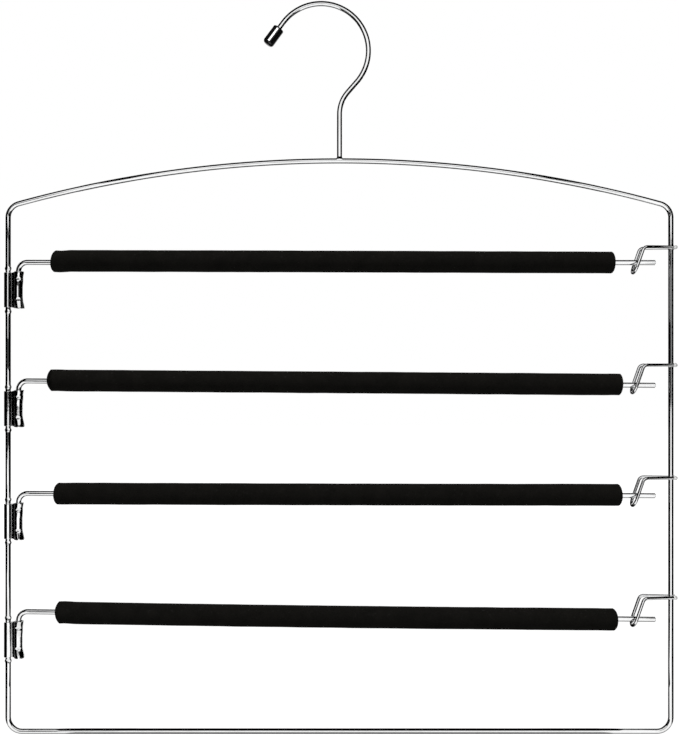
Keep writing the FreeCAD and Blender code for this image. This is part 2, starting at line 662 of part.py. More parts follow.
def make_sleeve(tier):
    """Foam tube on the arm, turned about the arm's axis, with ends that round out."""
    body = new_body(
        f"foam_sleeve_{tier}", LEG_AXIS, arm_height(tier), f"Sizes.tier_{tier}_droop_angle"
    )
    outer_formula = "Sizes.sleeve_diameter / 2"
    bore_formula = "Sizes.arm_wire / 2 + Sizes.sleeve_fit"
    dome_formula = f"(({outer_formula}) ^ 2 + Sizes.sleeve_bulge ^ 2) / (2 * Sizes.sleeve_bulge)"
    left_formula = f"Sizes.tier_{tier}_sleeve_start - Sizes.hinge_offset + {dome_formula}"
    right_formula = (
        f"Sizes.frame_width - Sizes.hinge_offset - Sizes.tier_{tier}_sleeve_stop - {dome_formula}"
    )
    outer = size(outer_formula)
    bore = size(bore_formula)
    dome = size(dome_formula)
    left = size(left_formula)
    right = size(right_formula)

    def rise(height):
        return math.degrees(math.asin(height / dome))

    def foot(height):
        return math.sqrt(dome ** 2 - height ** 2)

    half = new_sketch(body, "XZ_Plane", f"sleeve_half_{tier}")
    skin = line(half, (left - foot(outer), outer), (right + foot(outer), outer))
    inside = line(half, (left - foot(bore), bore), (right + foot(bore), bore))
    left_end = arc(half, (left, 0), dome, 180 - rise(outer), 180 - rise(bore))
    right_end = arc(half, (right, 0), dome, rise(bore), rise(outer))
    hold(
        half,
        ("Coincident", skin, START, left_end, START),
        ("Coincident", skin, END, right_end, END),
        ("Coincident", inside, START, left_end, END),
        ("Coincident", inside, END, right_end, START),
        ("Horizontal", skin),
        ("Horizontal", inside),
        ("PointOnObject", left_end, CENTRE, X_AXIS),
        ("PointOnObject", right_end, CENTRE, X_AXIS),
        ("Equal", left_end, right_end),
    )
    dimension(half, "outer_radius", outer_formula, "DistanceY", *ORIGIN, skin, START)
    dimension(half, "bore_radius", bore_formula, "DistanceY", *ORIGIN, inside, START)
    dimension(half, "dome", dome_formula, "Radius", left_end)
    dimension(half, "left_centre", left_formula, "DistanceX", *ORIGIN, left_end, CENTRE)
    dimension(half, "right_centre", right_formula, "DistanceX", *ORIGIN, right_end, CENTRE)
    turned = body.newObject("PartDesign::Revolution", f"turned_sleeve_{tier}")
    turned.Profile = half
    turned.ReferenceAxis = (half, ["H_Axis"])
    return body


def bend_edges(start, corner, end, radius):
    """The straight run from start into a bend at corner, and the bend itself, towards end."""
    inward = (start - corner).normalize()
    outward = (end - corner).normalize()
    half_angle = inward.getAngle(outward) / 2
    setback = radius / math.tan(half_angle)
    bisector = (inward + outward).normalize()
    middle = corner + bisector * (radius / math.sin(half_angle) - radius)
    first = corner + inward * setback
    last = corner + outward * setback
    return Part.LineSegment(start, first).toShape(), Part.Arc(first, middle, last).toShape(), last


def make_catch(tier):
    """Hairpin catch: two strands welded to the front and the back of the right upright, splayed to
    the fork, turned down beside the arm and joined by a U-turn under it."""
    upright_x = size(RIGHT_UPRIGHT)
    reach = size("Sizes.catch_reach")
    tail = size("Sizes.catch_tail")
    spread = size("Sizes.catch_spread / 2")
    root = size("Sizes.frame_wire / 2 + Sizes.catch_wire / 2 - Sizes.weld_sink")
    lean = math.radians(size("Sizes.catch_lean_angle"))
    bend = size("Sizes.catch_bend_radius")
    arm_z = size(
        f"{arm_height(tier)} - tan(Sizes.tier_{tier}_droop_angle)"
        " * (Sizes.frame_width - Sizes.hinge_offset - Sizes.catch_reach)"
    )
    run_z = arm_z + size(f"Sizes.tier_{tier}_catch_rise")
    floor_z = arm_z - size(
        f"Sizes.arm_wire / 2 + Sizes.tier_{tier}_catch_gap + Sizes.catch_wire / 2"
    )
    down = Vector(-math.sin(lean), 0, -math.cos(lean))
    corner_x = upright_x - reach
    splay = (spread - root) / reach

    def strand(side):
        """Cut end, corner and start of the U-turn, on the front (-1) or the back (1)."""
        cut_end = Vector(upright_x + tail, side * (root - splay * tail), run_z)
        corner = Vector(corner_x, side * spread, run_z)
        turn_start = corner + down * ((run_z - floor_z - spread * math.cos(lean)) / math.cos(lean))
        return cut_end, corner, turn_start

    front_end, front_corner, front_turn = strand(-1)
    back_end, back_corner, back_turn = strand(1)
    front_run, front_bend, front_top = bend_edges(front_end, front_corner, front_turn, bend)
    back_run, back_bend, back_top = bend_edges(back_end, back_corner, back_turn, bend)
    lowest = (front_turn + back_turn) * 0.5 + down * spread
    path = doc.addObject("Part::Feature", f"catch_path_{tier}")
    path.Shape = Part.Wire([
        front_run,
        front_bend,
        Part.LineSegment(front_top, front_turn).toShape(),
        Part.Arc(front_turn, lowest, back_turn).toShape(),
        Part.LineSegment(back_turn, back_top).toShape(),
        back_bend,
        back_run,
    ])

    section = doc.addObject("Part::Circle", f"catch_section_{tier}")
    section.setExpression("Radius", "Sizes.catch_wire / 2")
    section.Placement = Placement(front_end, Rotation(Vector(0, 0, 1), front_corner - front_end))
    hairpin = doc.addObject("Part::Sweep", f"hairpin_{tier}")
    hairpin.Sections = [section]
    hairpin.Spine = (path, [f"Edge{index + 1}" for index in range(len(path.Shape.Edges))])
    hairpin.Solid = True
    hairpin.Frenet = False

    # The strands are cut back to the upright's skin. The cutter is taller than a strand is thick.
    upright = doc.addObject("Part::Cylinder", f"upright_at_catch_{tier}")
    upright.setExpression("Radius", "Sizes.frame_wire / 2")
    upright.setExpression("Height", "2 * Sizes.catch_wire")
    upright.setExpression("Placement.Base.x", RIGHT_UPRIGHT)
    upright.Placement.Base.z = run_z - size("Sizes.catch_wire")
    welded = doc.addObject("Part::Cut", f"arm_catch_{tier}")
    welded.Label = f"arm_catch_{tier}"
    welded.Base = hairpin
    welded.Tool = upright
    return welded


def check(pieces):
    """Stops before anything is written if a feature failed or a piece isn't one valid solid."""
    for item in doc.Objects:
        if {"Invalid", "Error"} & set(item.State):
            raise RuntimeError(f"{item.Name} failed: {item.getStatusString()}")
    for piece in pieces:
        shape = piece.Shape
        if shape.isNull() or not shape.isValid() or len(shape.Solids) != 1:
            raise RuntimeError(f"{piece.Label} is not one valid solid")


tiers = range(1, 1 + sum(name.endswith("_drop") for name, number, meaning in SIZES))
pieces = [make_frame(tiers), make_hook(), make_cap()]
for tier in tiers:
    pieces += [make_bracket(tier), make_arm(tier), make_sleeve(tier), make_catch(tier)]
doc.recompute()
check(pieces)
os.makedirs("parts", exist_ok=True)
for piece in pieces:
    piece.Shape.exportStep(f"parts/{piece.Label}.step")
    print(piece.Label, round(piece.Shape.Volume, 1), "mm3")
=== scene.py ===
import math

import bpy
from mathutils import Matrix, Vector


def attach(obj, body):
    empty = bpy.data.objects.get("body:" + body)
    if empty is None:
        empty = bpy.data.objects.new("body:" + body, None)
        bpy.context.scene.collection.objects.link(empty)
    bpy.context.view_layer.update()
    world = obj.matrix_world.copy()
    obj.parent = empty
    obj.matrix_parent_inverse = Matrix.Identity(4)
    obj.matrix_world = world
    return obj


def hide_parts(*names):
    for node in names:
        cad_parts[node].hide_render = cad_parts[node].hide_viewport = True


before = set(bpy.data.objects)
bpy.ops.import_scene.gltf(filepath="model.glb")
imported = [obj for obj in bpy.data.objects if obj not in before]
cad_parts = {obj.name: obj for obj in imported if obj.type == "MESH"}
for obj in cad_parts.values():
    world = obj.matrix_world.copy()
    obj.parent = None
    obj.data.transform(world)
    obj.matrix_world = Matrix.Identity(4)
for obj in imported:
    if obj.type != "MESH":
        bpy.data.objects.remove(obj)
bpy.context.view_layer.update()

# Trouser hanger: a chrome wire frame with a swan-neck hook, and four foam-padded arms that swing on
# folded brackets. X runs along the arms from hinge to catch, Y from front to back, Z is up, and the
# origin is where the hook sits on its rail. Lengths are in metres, so most are written times MM, and
# angles are in degrees.
MM = 0.001
TIERS = (1, 2, 3, 4)
RIGHT = Vector((1, 0, 0))
BACK = Vector((0, 1, 0))
UP = Vector((0, 0, 1))

# Frame loop, with the ears that are pinched in its left upright, and hook.
FRAME_WIRE = 3.0 * MM
FRAME_WIDTH = 376.1 * MM
FRAME_HEIGHT = 323.6 * MM
ARCH_RISE = 26.0 * MM
CORNER_RADIUS = 8.0 * MM
STEM_X = 10.4 * MM
CROWN_Z = -87.7 * MM
LEFT_X = STEM_X - FRAME_WIDTH / 2
RIGHT_X = STEM_X + FRAME_WIDTH / 2
EAR_WIDTH = 3.9 * MM
EAR_THICKNESS = 2.2 * MM
EAR_LENGTH = 2.8 * MM
EAR_GAP = 0.3 * MM
HOOK_WIRE = 3.0 * MM
HOOK_RADIUS = 26.8 * MM
HOOK_CENTRE_Z = HOOK_WIRE / 2 - HOOK_RADIUS
HOOK_TIP_ANGLE = 143.5
HOOK_NECK_ANGLE = 41.0
HOOK_NECK_RADIUS = 19.0 * MM
# The weld flare at the hook's foot: where it starts, how wide it is there, and how it narrows upwards.
FLARE_LIFT = 0.75 * MM
FLARE_WIDTH = 4.3 * MM
FLARE_STEPS = (
    (0.5 * MM, 0.95), (0.35 * MM, 0.9), (0.35 * MM, 0.88), (0.5 * MM, 0.92), (0.8 * MM, 0.94),
)
TIP_BARE = 3.9 * MM
CAP_LENGTH = 11.6 * MM
CAP_DIAMETER = 6.5 * MM
CAP_END_RADIUS = 1.9 * MM
CAP_END_WALL = 1.6 * MM
CAP_CLEARANCE = 0.03 * MM
CAP_CROWN = 0.15 * MM
# The rings on the cap's crowned end, as shares of its flat.
CROWN_SHARES = (0.75, 0.5, 0.25, 0.02)
# The cap's mouth and lip: distance from the mouth, and how much wider than the bore or how far below the
# outside it is there.
CAP_MOUTH = ((1.6 * MM, 0.0), (0.45 * MM, 0.0), (0.15 * MM, 0.08 * MM), (0.0, 0.35 * MM))
CAP_LIP = (
    (0.0, 0.85 * MM), (0.05 * MM, 0.55 * MM), (0.16 * MM, 0.30 * MM), (0.36 * MM, 0.12 * MM),
    (0.65 * MM, 0.03 * MM), (1.0 * MM, 0.0), (2.2 * MM, 0.04 * MM),
)

# Arms, brackets and sleeves.
ARM_WIRE = 3.0 * MM
ARM_BEND_RADIUS = 5.0 * MM
ARM_END_GAP = 8.9 * MM
CUT_EDGE = 0.3 * MM
HINGE_OFFSET = 5.9 * MM
LEG_X = LEFT_X + HINGE_OFFSET
BRACKET_GAP = 0.2 * MM
BRACKET_HEIGHT = 21.0 * MM
LEG_RECESS = 0.3 * MM
STRIP = 0.75 * MM
UPRIGHT_BARREL = 1.55 * MM + STRIP / 2
LEG_BARREL = 1.80 * MM + STRIP / 2
WEB_PLY = 0.08 * MM + STRIP / 2
STRIP_END = 0.3 * MM
SLEEVE_RADIUS = 6.2 * MM
SLEEVE_BORE = 1.6 * MM
ARM_DROP = {1: 57.6 * MM, 2: 124.8 * MM, 3: 188.7 * MM, 4: 255.7 * MM}
ARM_DROOP = {1: 0.02, 2: 0.4, 3: 0.2, 4: 0.7}
SLEEVE_START = {1: 24.7 * MM, 2: 22.2 * MM, 3: 26.2 * MM, 4: 26.9 * MM}
SLEEVE_STOP = {1: 32.0 * MM, 2: 27.8 * MM, 3: 27.9 * MM, 4: 30.4 * MM}
# How far a sleeve's skin stands above the middle of its arm: at its near end, half-way and far end.
SLEEVE_LIFT = {
    1: (0.88 * MM, 0.52 * MM, 0.0),
    2: (0.33 * MM, 0.32 * MM, 0.24 * MM),
    3: (0.05 * MM, 0.05 * MM, 0.40 * MM),
    4: (-0.40 * MM, -0.80 * MM, -0.33 * MM),
}

# The cut ends of a sleeve, near and far: how deep the rounding is, how full its face and how sharp its
# corner are, and how much longer the top is than the bottom.
SLEEVE_ENDS = {
    1: ((2.0 * MM, 4.4, 0.88, -1.3 * MM), (1.9 * MM, 3.6, 0.66, 0.0)),
    2: ((2.4 * MM, 2.4, 0.95, 0.5 * MM), (1.5 * MM, 3.4, 0.66, 0.4 * MM)),
    3: ((2.2 * MM, 3.8, 0.85, -0.5 * MM), (2.2 * MM, 3.2, 0.66, -0.2 * MM)),
    4: ((2.3 * MM, 2.6, 0.95, 0.9 * MM), (2.5 * MM, 3.0, 0.66, -0.3 * MM)),
}

# Catches.
CATCH_WIRE = 1.8 * MM
CATCH_TAIL = 3.1 * MM
CATCH_REACH = 16.3 * MM
CATCH_LEAN_ANGLE = 19.5
CATCH_HALF_SPREAD = 8.5 * MM / 2
CATCH_BEND = 2.7 * MM
WELD_SINK = 0.15 * MM
CATCH_RISE = {1: 8.55 * MM, 2: 11.4 * MM, 3: 10.2 * MM, 4: 12.55 * MM}
# The ends melt to small balls in the weld: distance from the end and radius there.
CATCH_BALL = (
    (0.0, 0.25 * MM), (0.08 * MM, 0.55 * MM), (0.25 * MM, 0.82 * MM), (0.55 * MM, 1.05 * MM),
    (0.95 * MM, 1.15 * MM), (1.40 * MM, 1.10 * MM), (1.90 * MM, 0.98 * MM), (2.30 * MM, 0.90 * MM),
)
CATCH_GAP = {1: 3.6 * MM, 2: 2.0 * MM, 3: 3.2 * MM, 4: 1.1 * MM}

# Small forms of the brackets: the loop round the upright, which eases into the web, and the leg's barrel,
# which is shaped on its free side. Its spans are measured down from its upper edge.
FOLD_RADIUS = 0.5 * MM
LOOP_HEIGHT = 19.8 * MM
LOOP_EDGE = LEFT_X + 2 * MM
LOOP_EASE = 3.5 * MM
FREE_SIDE = (-1.6 * MM, 0.8 * MM)
LIP_SPREAD = 0.45 * MM
LIP_HEIGHT = 3.2 * MM
FOOT_SPREAD = 0.75 * MM
FOOT_HEIGHT = 5.0 * MM
WAIST_DEPTH = 0.26 * MM
WAIST_NARROWS = (5 * MM, 9 * MM)
WAIST_WIDENS = (14 * MM, 18 * MM)
CRIMP_DROP = 4.1 * MM
CRIMP_PITCH = 11.7 * MM
CRIMP_DEPTH = 0.62 * MM
CRIMP_HALF_WIDTH = 2.0 * MM
CRIMP_HALF_HEIGHT = 1.05 * MM
CRIMP_ROUNDING = 1.5
SHEARED_EDGE = 0.12 * MM
# Where the painted shade in the fold between the barrels begins and ends, from the upright to the leg: the
# fold's colour is painted dark in place of the dark reflections it shows.
FOLD_SHADE_BEGINS = (LEFT_X + 2.5 * MM, LEFT_X + 3.0 * MM)
FOLD_SHADE_ENDS = (LEG_X - 1.5 * MM, LEG_X - 1.1 * MM)

# Small forms of the sleeves. The bore's mouth: distance from the end, and how much wider it is there. The
# rounded cut starts at a share of a quarter turn, and a sleeve's lift is full outside its core.
BORE_MOUTH = ((6.0 * MM, 0.0), (0.6 * MM, 0.0), (0.12 * MM, 0.2 * MM))
CUT_START = 0.25
SLEEVE_CORE = 0.7 * SLEEVE_RADIUS
SLANT_DEPTH = 3.5 * MM
SLANT_EASE = 9 * MM
FOAM_LUMP = 14 * MM
FOAM_UNEVENNESS = 0.22 * MM

# How finely the pieces are drawn: how near two points are merged, points round a section, and rings
# along a bend or a run.
MERGE_DISTANCE = 1e-6
WIRE_SIDES = 32
CATCH_SIDES = 24
CAP_SIDES = 48
SLEEVE_SIDES = 64
ARCH_RINGS = 48
SHOULDER_RINGS = 14
FOOT_RINGS = 16
EAR_RINGS = 8
NECK_RINGS = 20
HOOK_RINGS = 96
CAP_END_RINGS = 12
ARM_BEND_RINGS = 18
CATCH_BEND_RINGS = 14
U_TURN_RINGS = 28
BRACKET_ROWS = 60
LEG_BARREL_STEPS = 28
UPRIGHT_BARREL_STEPS = 52
FOLD_STEPS = 6
WEB_STEPS = 3
SLEEVE_RINGS = 110
SLEEVE_END_RINGS = 20

# Camera and studio. The floor glows to white from its middle outwards, over the two distances.
CAMERA_LENS = 51.5
CAMERA_DISTANCE = 600 * MM
CAMERA_Z = -206.1 * MM
WORLD_LIGHT = 0.42
FLOOR_SIZE = 12
FLOOR_Z = -0.56
FLOOR_GREY = 0.8
NEAR_GLOW = 0.22
FAR_GLOW = 0.69
GLOW_SPREAD = (0.3, 2.0)
GLEAM_FROM = (-0.05, -0.955, 0.30)
GLEAM_DISTANCE = 0.6
GLEAM_SIZE = (0.37, 0.12)
GLEAM_POWER = 5.2
OVERHEAD_PLACE = (STEM_X, -0.7, 1.5)
OVERHEAD_AIM = (STEM_X, 0, -0.2)
OVERHEAD_SIZE = (0.8, 0.5)
OVERHEAD_POWER = 36

# The cards that show in the bright wires, in metres, X from the stem. Upright ones stand edge on to the
# camera: name, grey, X, front and back, low and high.
UPRIGHT_CARDS = (
    ("left_flag", 0.0, -0.33, (-0.70, 0.13), (-0.50, -0.03)),
    ("right_flag", 0.0, 0.33, (-0.47, 0.13), (-0.50, -0.03)),
    ("right_far_flag", 0.0, 0.59, (-1.07, -0.65), (-0.55, 0.05)),
    ("left_back_flag", 0.0, -0.33, (-0.31, 0.13), (-0.03, 0.28)),
    ("right_back_flag", 0.0, 0.33, (-0.31, 0.13), (-0.03, 0.28)),
    ("left_hook_flag", 0.0, -0.15, (-0.165, 0.20), (-0.075, 0.30)),
    ("right_hook_flag", 0.0, 0.15, (-0.165, 0.20), (-0.075, 0.30)),
    ("left_inner_flag", 0.0, -0.15, (0.012, 0.20), (-0.50, -0.08)),
    ("right_inner_flag", 0.0, 0.15, (0.012, 0.20), (-0.50, -0.08)),
)
# Front ones face the hanger: name, grey, left and right, Y, low and high.
FRONT_CARDS = (
    ("camera_gear_left", 0.12, (-0.25, 0.0), -0.64, (-0.255, -0.070)),
    ("camera_gear_right", 0.03, (0.0, 0.30), -0.64, (-0.250, -0.060)),
    ("side_gear", 0.012, (-0.75, -0.25), -0.64, (-0.31, -0.050)),
    ("bright_gear", 1.0, (-0.217, -0.10), -0.30, (-0.165, -0.115)),
    ("third_bracket_card", 1.0, (-0.232, -0.205), -0.10, (-0.292, -0.262)),
    ("fourth_bracket_card", 1.0, (-0.232, -0.205), -0.10, (-0.368, -0.335)),
)
# Level ones lie above or below the wires: name, grey, reach to each side, front and back, Z.
LEVEL_CARDS = (
    ("near_top_flag", 0.0, 0.40, (-0.28, 0.40), 0.15),
    ("far_top_flag", 0.0, 0.8, (-0.28, 0.90), 0.50),
    ("ceiling_flag", 0.05, 1.5, (-0.35, 0.70), 0.90),
    ("table_back", 0.15, 0.6, (-0.04, 0.80), -0.55),
    ("arch_card", 0.05, 0.155, (-0.006, 0.20), -0.13),
    ("bar_shade", 0.02, 0.165, (-0.055, 0.15), -0.45),
    ("bar_card", 0.0, 0.165, (-0.024, 0.15), -0.392),
)


def arm_z(tier):
    """Height of an arm's axis over its leg."""
    return CROWN_Z - ARM_DROP[tier]


def bracket_top(tier):
    """Height of a bracket's upper edge, just under the arm's bend."""
    half_turn = math.radians(45 + ARM_DROOP[tier] / 2)
    return arm_z(tier) - ARM_BEND_RADIUS * math.tan(half_turn) - BRACKET_GAP


def arm_heading(tier):
    """Direction of an arm from its bend to its catch."""
    droop = math.radians(ARM_DROOP[tier])
    return Vector((math.cos(droop), 0, -math.sin(droop)))


def let_go():
    """Back to object mode with nothing selected, before a new piece is begun."""
    if bpy.context.mode != "OBJECT":
        bpy.ops.object.mode_set(mode="OBJECT")
    bpy.ops.object.select_all(action="DESELECT")


def pick(piece, wanted):
    """Edit mode on a piece, with the points selected whose place is wanted."""
    for face in piece.data.polygons:
        face.select = False
    for edge in piece.data.edges:
        edge.select = False
    for vertex in piece.data.vertices:
        vertex.select = wanted(vertex.co)
    bpy.ops.object.mode_set(mode="EDIT")
    bpy.ops.mesh.select_mode(type="VERT")


def smooth_step(low, high, value):
    """0 below low, 1 above high and an even rise between."""
    share = min(max((value - low) / (high - low), 0), 1)
    return share * share * (3 - 2 * share)


class Wire:
    """A round piece that is drawn out, bent and swelled ring by ring, from one end to the other."""

    def __init__(self, name, at, heading, diameter, sides=WIRE_SIDES):
        let_go()
        self.at = Vector(at)
        self.heading = Vector(heading).normalized()
        turn = self.heading.to_track_quat("Z", "Y").to_euler()
        bpy.ops.mesh.primitive_circle_add(
            vertices=sides, radius=diameter / 2, location=self.at, rotation=turn
        )
        bpy.ops.object.transform_apply(location=True, rotation=True, scale=True)
        self.piece = bpy.context.object
        self.piece.name = name
        self.piece.data.name = name
        bpy.ops.object.mode_set(mode="EDIT")
        bpy.ops.mesh.select_all(action="SELECT")

    def ahead(self, length):
        """Draws the last ring out along the heading."""
        step = self.heading * length
        bpy.ops.mesh.extrude_region_move(TRANSFORM_OT_translate={"value": step})
        self.at += step

    def scale(self, factor):
        """Swells or narrows the last ring about its middle, evenly or by X, Y and Z."""
        by = factor if isinstance(factor, tuple) else (factor, factor, factor)
        bpy.ops.transform.resize(value=by, center_override=self.at)

    def taper(self, length, factor):
        """Draws the last ring out and changes its width."""
        self.ahead(length)
        self.scale(factor)

    def bend(self, side, radius, angle, steps):
        """Bends the wire towards side, at right angles to its heading, by an angle in radians."""
        axis = self.heading.cross(side).normalized()
        middle = self.at + side * radius
        # Spin turns left-handed about its axis.
        bpy.ops.mesh.spin(steps=steps, angle=-angle, center=middle, axis=axis)
        turn = Matrix.Rotation(angle, 3, axis)
        self.at = middle + turn @ (self.at - middle)
        self.heading = turn @ self.heading

    def bend_to(self, heading, radius, steps):
        """Bends the wire until it heads the given way."""
        heading = heading.normalized()
        side = (heading - self.heading * heading.dot(self.heading)).normalized()
        self.bend(side, radius, self.heading.angle(heading), steps)

    def finish(self, closed=False, smooth_angle=40):
        """Joins a loop's first and last rings or fills the two ends, and points all faces outwards."""
        bpy.ops.mesh.select_all(action="SELECT")
        bpy.ops.mesh.remove_doubles(threshold=MERGE_DISTANCE)
        if not closed:
            bpy.ops.mesh.fill_holes(sides=0)
        bpy.ops.mesh.select_all(action="SELECT")
        bpy.ops.mesh.normals_make_consistent(inside=False)
        bpy.ops.object.mode_set(mode="OBJECT")
        bpy.ops.object.shade_smooth_by_angle(angle=math.radians(smooth_angle))
        return self.piece


def pinch(wire, length, width, thickness):
    """An ear: the wire is squeezed from front and back, so it spreads sideways and then recovers."""
    now_width = now_thickness = 1.0
    for step in range(1, EAR_RINGS + 1):
        wave = math.sin(math.pi * step / EAR_RINGS) ** 2
        next_width = 1 + (width / FRAME_WIRE - 1) * wave
        next_thickness = 1 + (thickness / FRAME_WIRE - 1) * wave
        wire.taper(length / EAR_RINGS, (next_width / now_width, next_thickness / now_thickness, 1))
        now_width, now_thickness = next_width, next_thickness


def bend_frame():
    """The frame: one wire from the crown round both uprights and back, with an ear above and below
    each bracket on the left upright."""
    half = FRAME_WIDTH / 2
    arch = (half ** 2 + ARCH_RISE ** 2) / (2 * ARCH_RISE)
    shoulder = math.acos((half - CORNER_RADIUS) / (arch - CORNER_RADIUS))
    arch_turn = math.pi / 2 - shoulder
    shoulder_z = CROWN_Z - arch + (arch - CORNER_RADIUS) * math.sin(shoulder)
    foot_z = CROWN_Z - FRAME_HEIGHT + CORNER_RADIUS

    wire = Wire("frame_loop", (STEM_X, 0, CROWN_Z), RIGHT, FRAME_WIRE)
    wire.bend(-UP, arch, arch_turn, ARCH_RINGS)
    wire.bend_to(-UP, CORNER_RADIUS, SHOULDER_RINGS)
    wire.ahead(shoulder_z - foot_z)
    wire.bend_to(-RIGHT, CORNER_RADIUS, FOOT_RINGS)
    wire.ahead(FRAME_WIDTH - 2 * CORNER_RADIUS)
    wire.bend_to(UP, CORNER_RADIUS, FOOT_RINGS)
    for tier in reversed(TIERS):
        top = bracket_top(tier)
        for ear_start in (top - BRACKET_HEIGHT - EAR_GAP - EAR_LENGTH, top + EAR_GAP):
            wire.ahead(ear_start - wire.at.z)
            pinch(wire, EAR_LENGTH, EAR_WIDTH, EAR_THICKNESS)
    wire.ahead(shoulder_z - wire.at.z)
    wire.bend(RIGHT, CORNER_RADIUS, shoulder, SHOULDER_RINGS)
    wire.bend_to(RIGHT, arch, ARCH_RINGS)
    return wire.finish(closed=True)


def bend_hook():
    """The hook: a stem whose foot is flared by its weld, a reverse bend, the open circle and a straight
    tip that ends inside the cap."""
    neck = math.radians(HOOK_NECK_ANGLE)
    tip = math.radians(HOOK_TIP_ANGLE)
    neck_run = (
        HOOK_RADIUS * math.cos(neck) - HOOK_NECK_RADIUS * (1 - math.cos(neck)) - STEM_X
    ) / math.sin(neck)
    stem_top = (
        HOOK_CENTRE_Z
        - HOOK_RADIUS * math.sin(neck)
        - neck_run * math.cos(neck)
        - HOOK_NECK_RADIUS * math.sin(neck)
    )
    wire = Wire("hook", (STEM_X, 0, CROWN_Z + FLARE_LIFT), UP, FLARE_WIDTH)
    width = FLARE_WIDTH
    for length, factor in FLARE_STEPS:
        wire.taper(length, factor)
        width *= factor
    wire.scale(HOOK_WIRE / width)
    wire.ahead(stem_top - wire.at.z)
    wire.bend(RIGHT, HOOK_NECK_RADIUS, neck, NECK_RINGS)
    wire.ahead(neck_run)
    left_of_heading = wire.heading.cross(BACK)
    wire.bend(left_of_heading, HOOK_RADIUS, neck + tip, HOOK_RINGS)
    wire.ahead(TIP_BARE + CAP_LENGTH - CAP_END_WALL - CAP_CLEARANCE)
    return wire.finish()


def lathe(name, at, heading, profile, sides):
    """A round piece from rings along an axis: each pair is a distance along it and a radius there."""
    heading = Vector(heading).normalized()
    (distance, radius), *others = profile
    ring = Wire(name, Vector(at) + heading * distance, heading, radius * 2, sides)
    for next_distance, next_radius in others:
        ring.taper(next_distance - distance, next_radius / radius)
        distance, radius = next_distance, next_radius
    return ring.finish()


def dip_cap():
    """The tip cap: a dipped vinyl tube with a rolled lip at its mouth and a blunt, slightly crowned end."""
    tip = math.radians(HOOK_TIP_ANGLE)
    heading = Vector((-math.sin(tip), 0, math.cos(tip)))
    arc_end = Vector((HOOK_RADIUS * math.cos(tip), 0, HOOK_CENTRE_Z + HOOK_RADIUS * math.sin(tip)))
    outer = CAP_DIAMETER / 2
    bore = HOOK_WIRE / 2 + CAP_CLEARANCE
    profile = [(distance, bore + flare) for distance, flare in CAP_MOUTH]
    profile += [(distance, outer - sink) for distance, sink in CAP_LIP]
    for step in range(CAP_END_RINGS + 1):
        turn = math.pi / 2 * step / CAP_END_RINGS
        distance = CAP_LENGTH - CAP_CROWN - (CAP_END_RADIUS - CAP_CROWN) * (1 - math.sin(turn))
        profile.append((distance, outer - CAP_END_RADIUS * (1 - math.cos(turn))))
    flat = outer - CAP_END_RADIUS
    for share in CROWN_SHARES:
        profile.append((CAP_LENGTH - CAP_CROWN * share ** 2, flat * share))
    return lathe("tip_cap", arc_end + heading * TIP_BARE, heading, profile, CAP_SIDES)


def bend_arm(tier):
    """An arm: its leg in the bracket, a tight bend and the long run to a cut end in the catch."""
    broken = ARM_WIRE - 2 * CUT_EDGE
    top = bracket_top(tier)
    wire = Wire(f"arm_{tier}", (LEG_X, 0, top - BRACKET_HEIGHT + LEG_RECESS), UP, broken)
    wire.taper(CUT_EDGE, ARM_WIRE / broken)
    wire.ahead(top + BRACKET_GAP - wire.at.z)
    wire.bend_to(arm_heading(tier), ARM_BEND_RADIUS, ARM_BEND_RINGS)
    run = (RIGHT_X - ARM_END_GAP - wire.at.x) / wire.heading.x
    wire.ahead(run - CUT_EDGE)
    wire.taper(CUT_EDGE, broken / ARM_WIRE)
    return wire.finish()


def bend_catch(tier):
    """A catch: a hairpin whose two strands are welded to the front and back of the right upright, splay
    to a fork, turn down beside the arm and meet in a U-turn under it."""
    lean = math.radians(CATCH_LEAN_ANGLE)
    root = FRAME_WIRE / 2 + CATCH_WIRE / 2 - WELD_SINK
    splay = (CATCH_HALF_SPREAD - root) / CATCH_REACH
    hinge_to_fork = FRAME_WIDTH - HINGE_OFFSET - CATCH_REACH
    arm_at_fork = arm_z(tier) - math.tan(math.radians(ARM_DROOP[tier])) * hinge_to_fork
    run_z = arm_at_fork + CATCH_RISE[tier]
    floor_z = arm_at_fork - ARM_WIRE / 2 - CATCH_GAP[tier] - CATCH_WIRE / 2
    down = Vector((-math.sin(lean), 0, -math.cos(lean)))
    strand_drop = (run_z - floor_z) / math.cos(lean) - CATCH_HALF_SPREAD

    front_end = Vector((RIGHT_X + CATCH_TAIL, -(root - splay * CATCH_TAIL), run_z))
    front_corner = Vector((RIGHT_X - CATCH_REACH, -CATCH_HALF_SPREAD, run_z))
    strand = front_corner - front_end
    homeward = strand * Vector((-1, 1, 1))
    setback = CATCH_BEND * math.tan(strand.angle(down) / 2)

    def ball(steps):
        for (here, radius), (there, next_radius) in zip(steps, steps[1:]):
            wire.taper(abs(there - here), next_radius / radius)

    ball_length = CATCH_BALL[-1][0]
    wire = Wire(f"catch_{tier}", front_end, strand, 2 * CATCH_BALL[0][1], CATCH_SIDES)
    ball(CATCH_BALL)
    wire.ahead(strand.length - setback - ball_length)
    wire.bend_to(down, CATCH_BEND, CATCH_BEND_RINGS)
    wire.ahead(strand_drop - setback)
    wire.bend(BACK, CATCH_HALF_SPREAD, math.pi, U_TURN_RINGS)
    wire.ahead(strand_drop - setback)
    wire.bend_to(homeward, CATCH_BEND, CATCH_BEND_RINGS)
    wire.ahead(strand.length - setback - ball_length)
    ball(CATCH_BALL[::-1])
    return wire.finish()


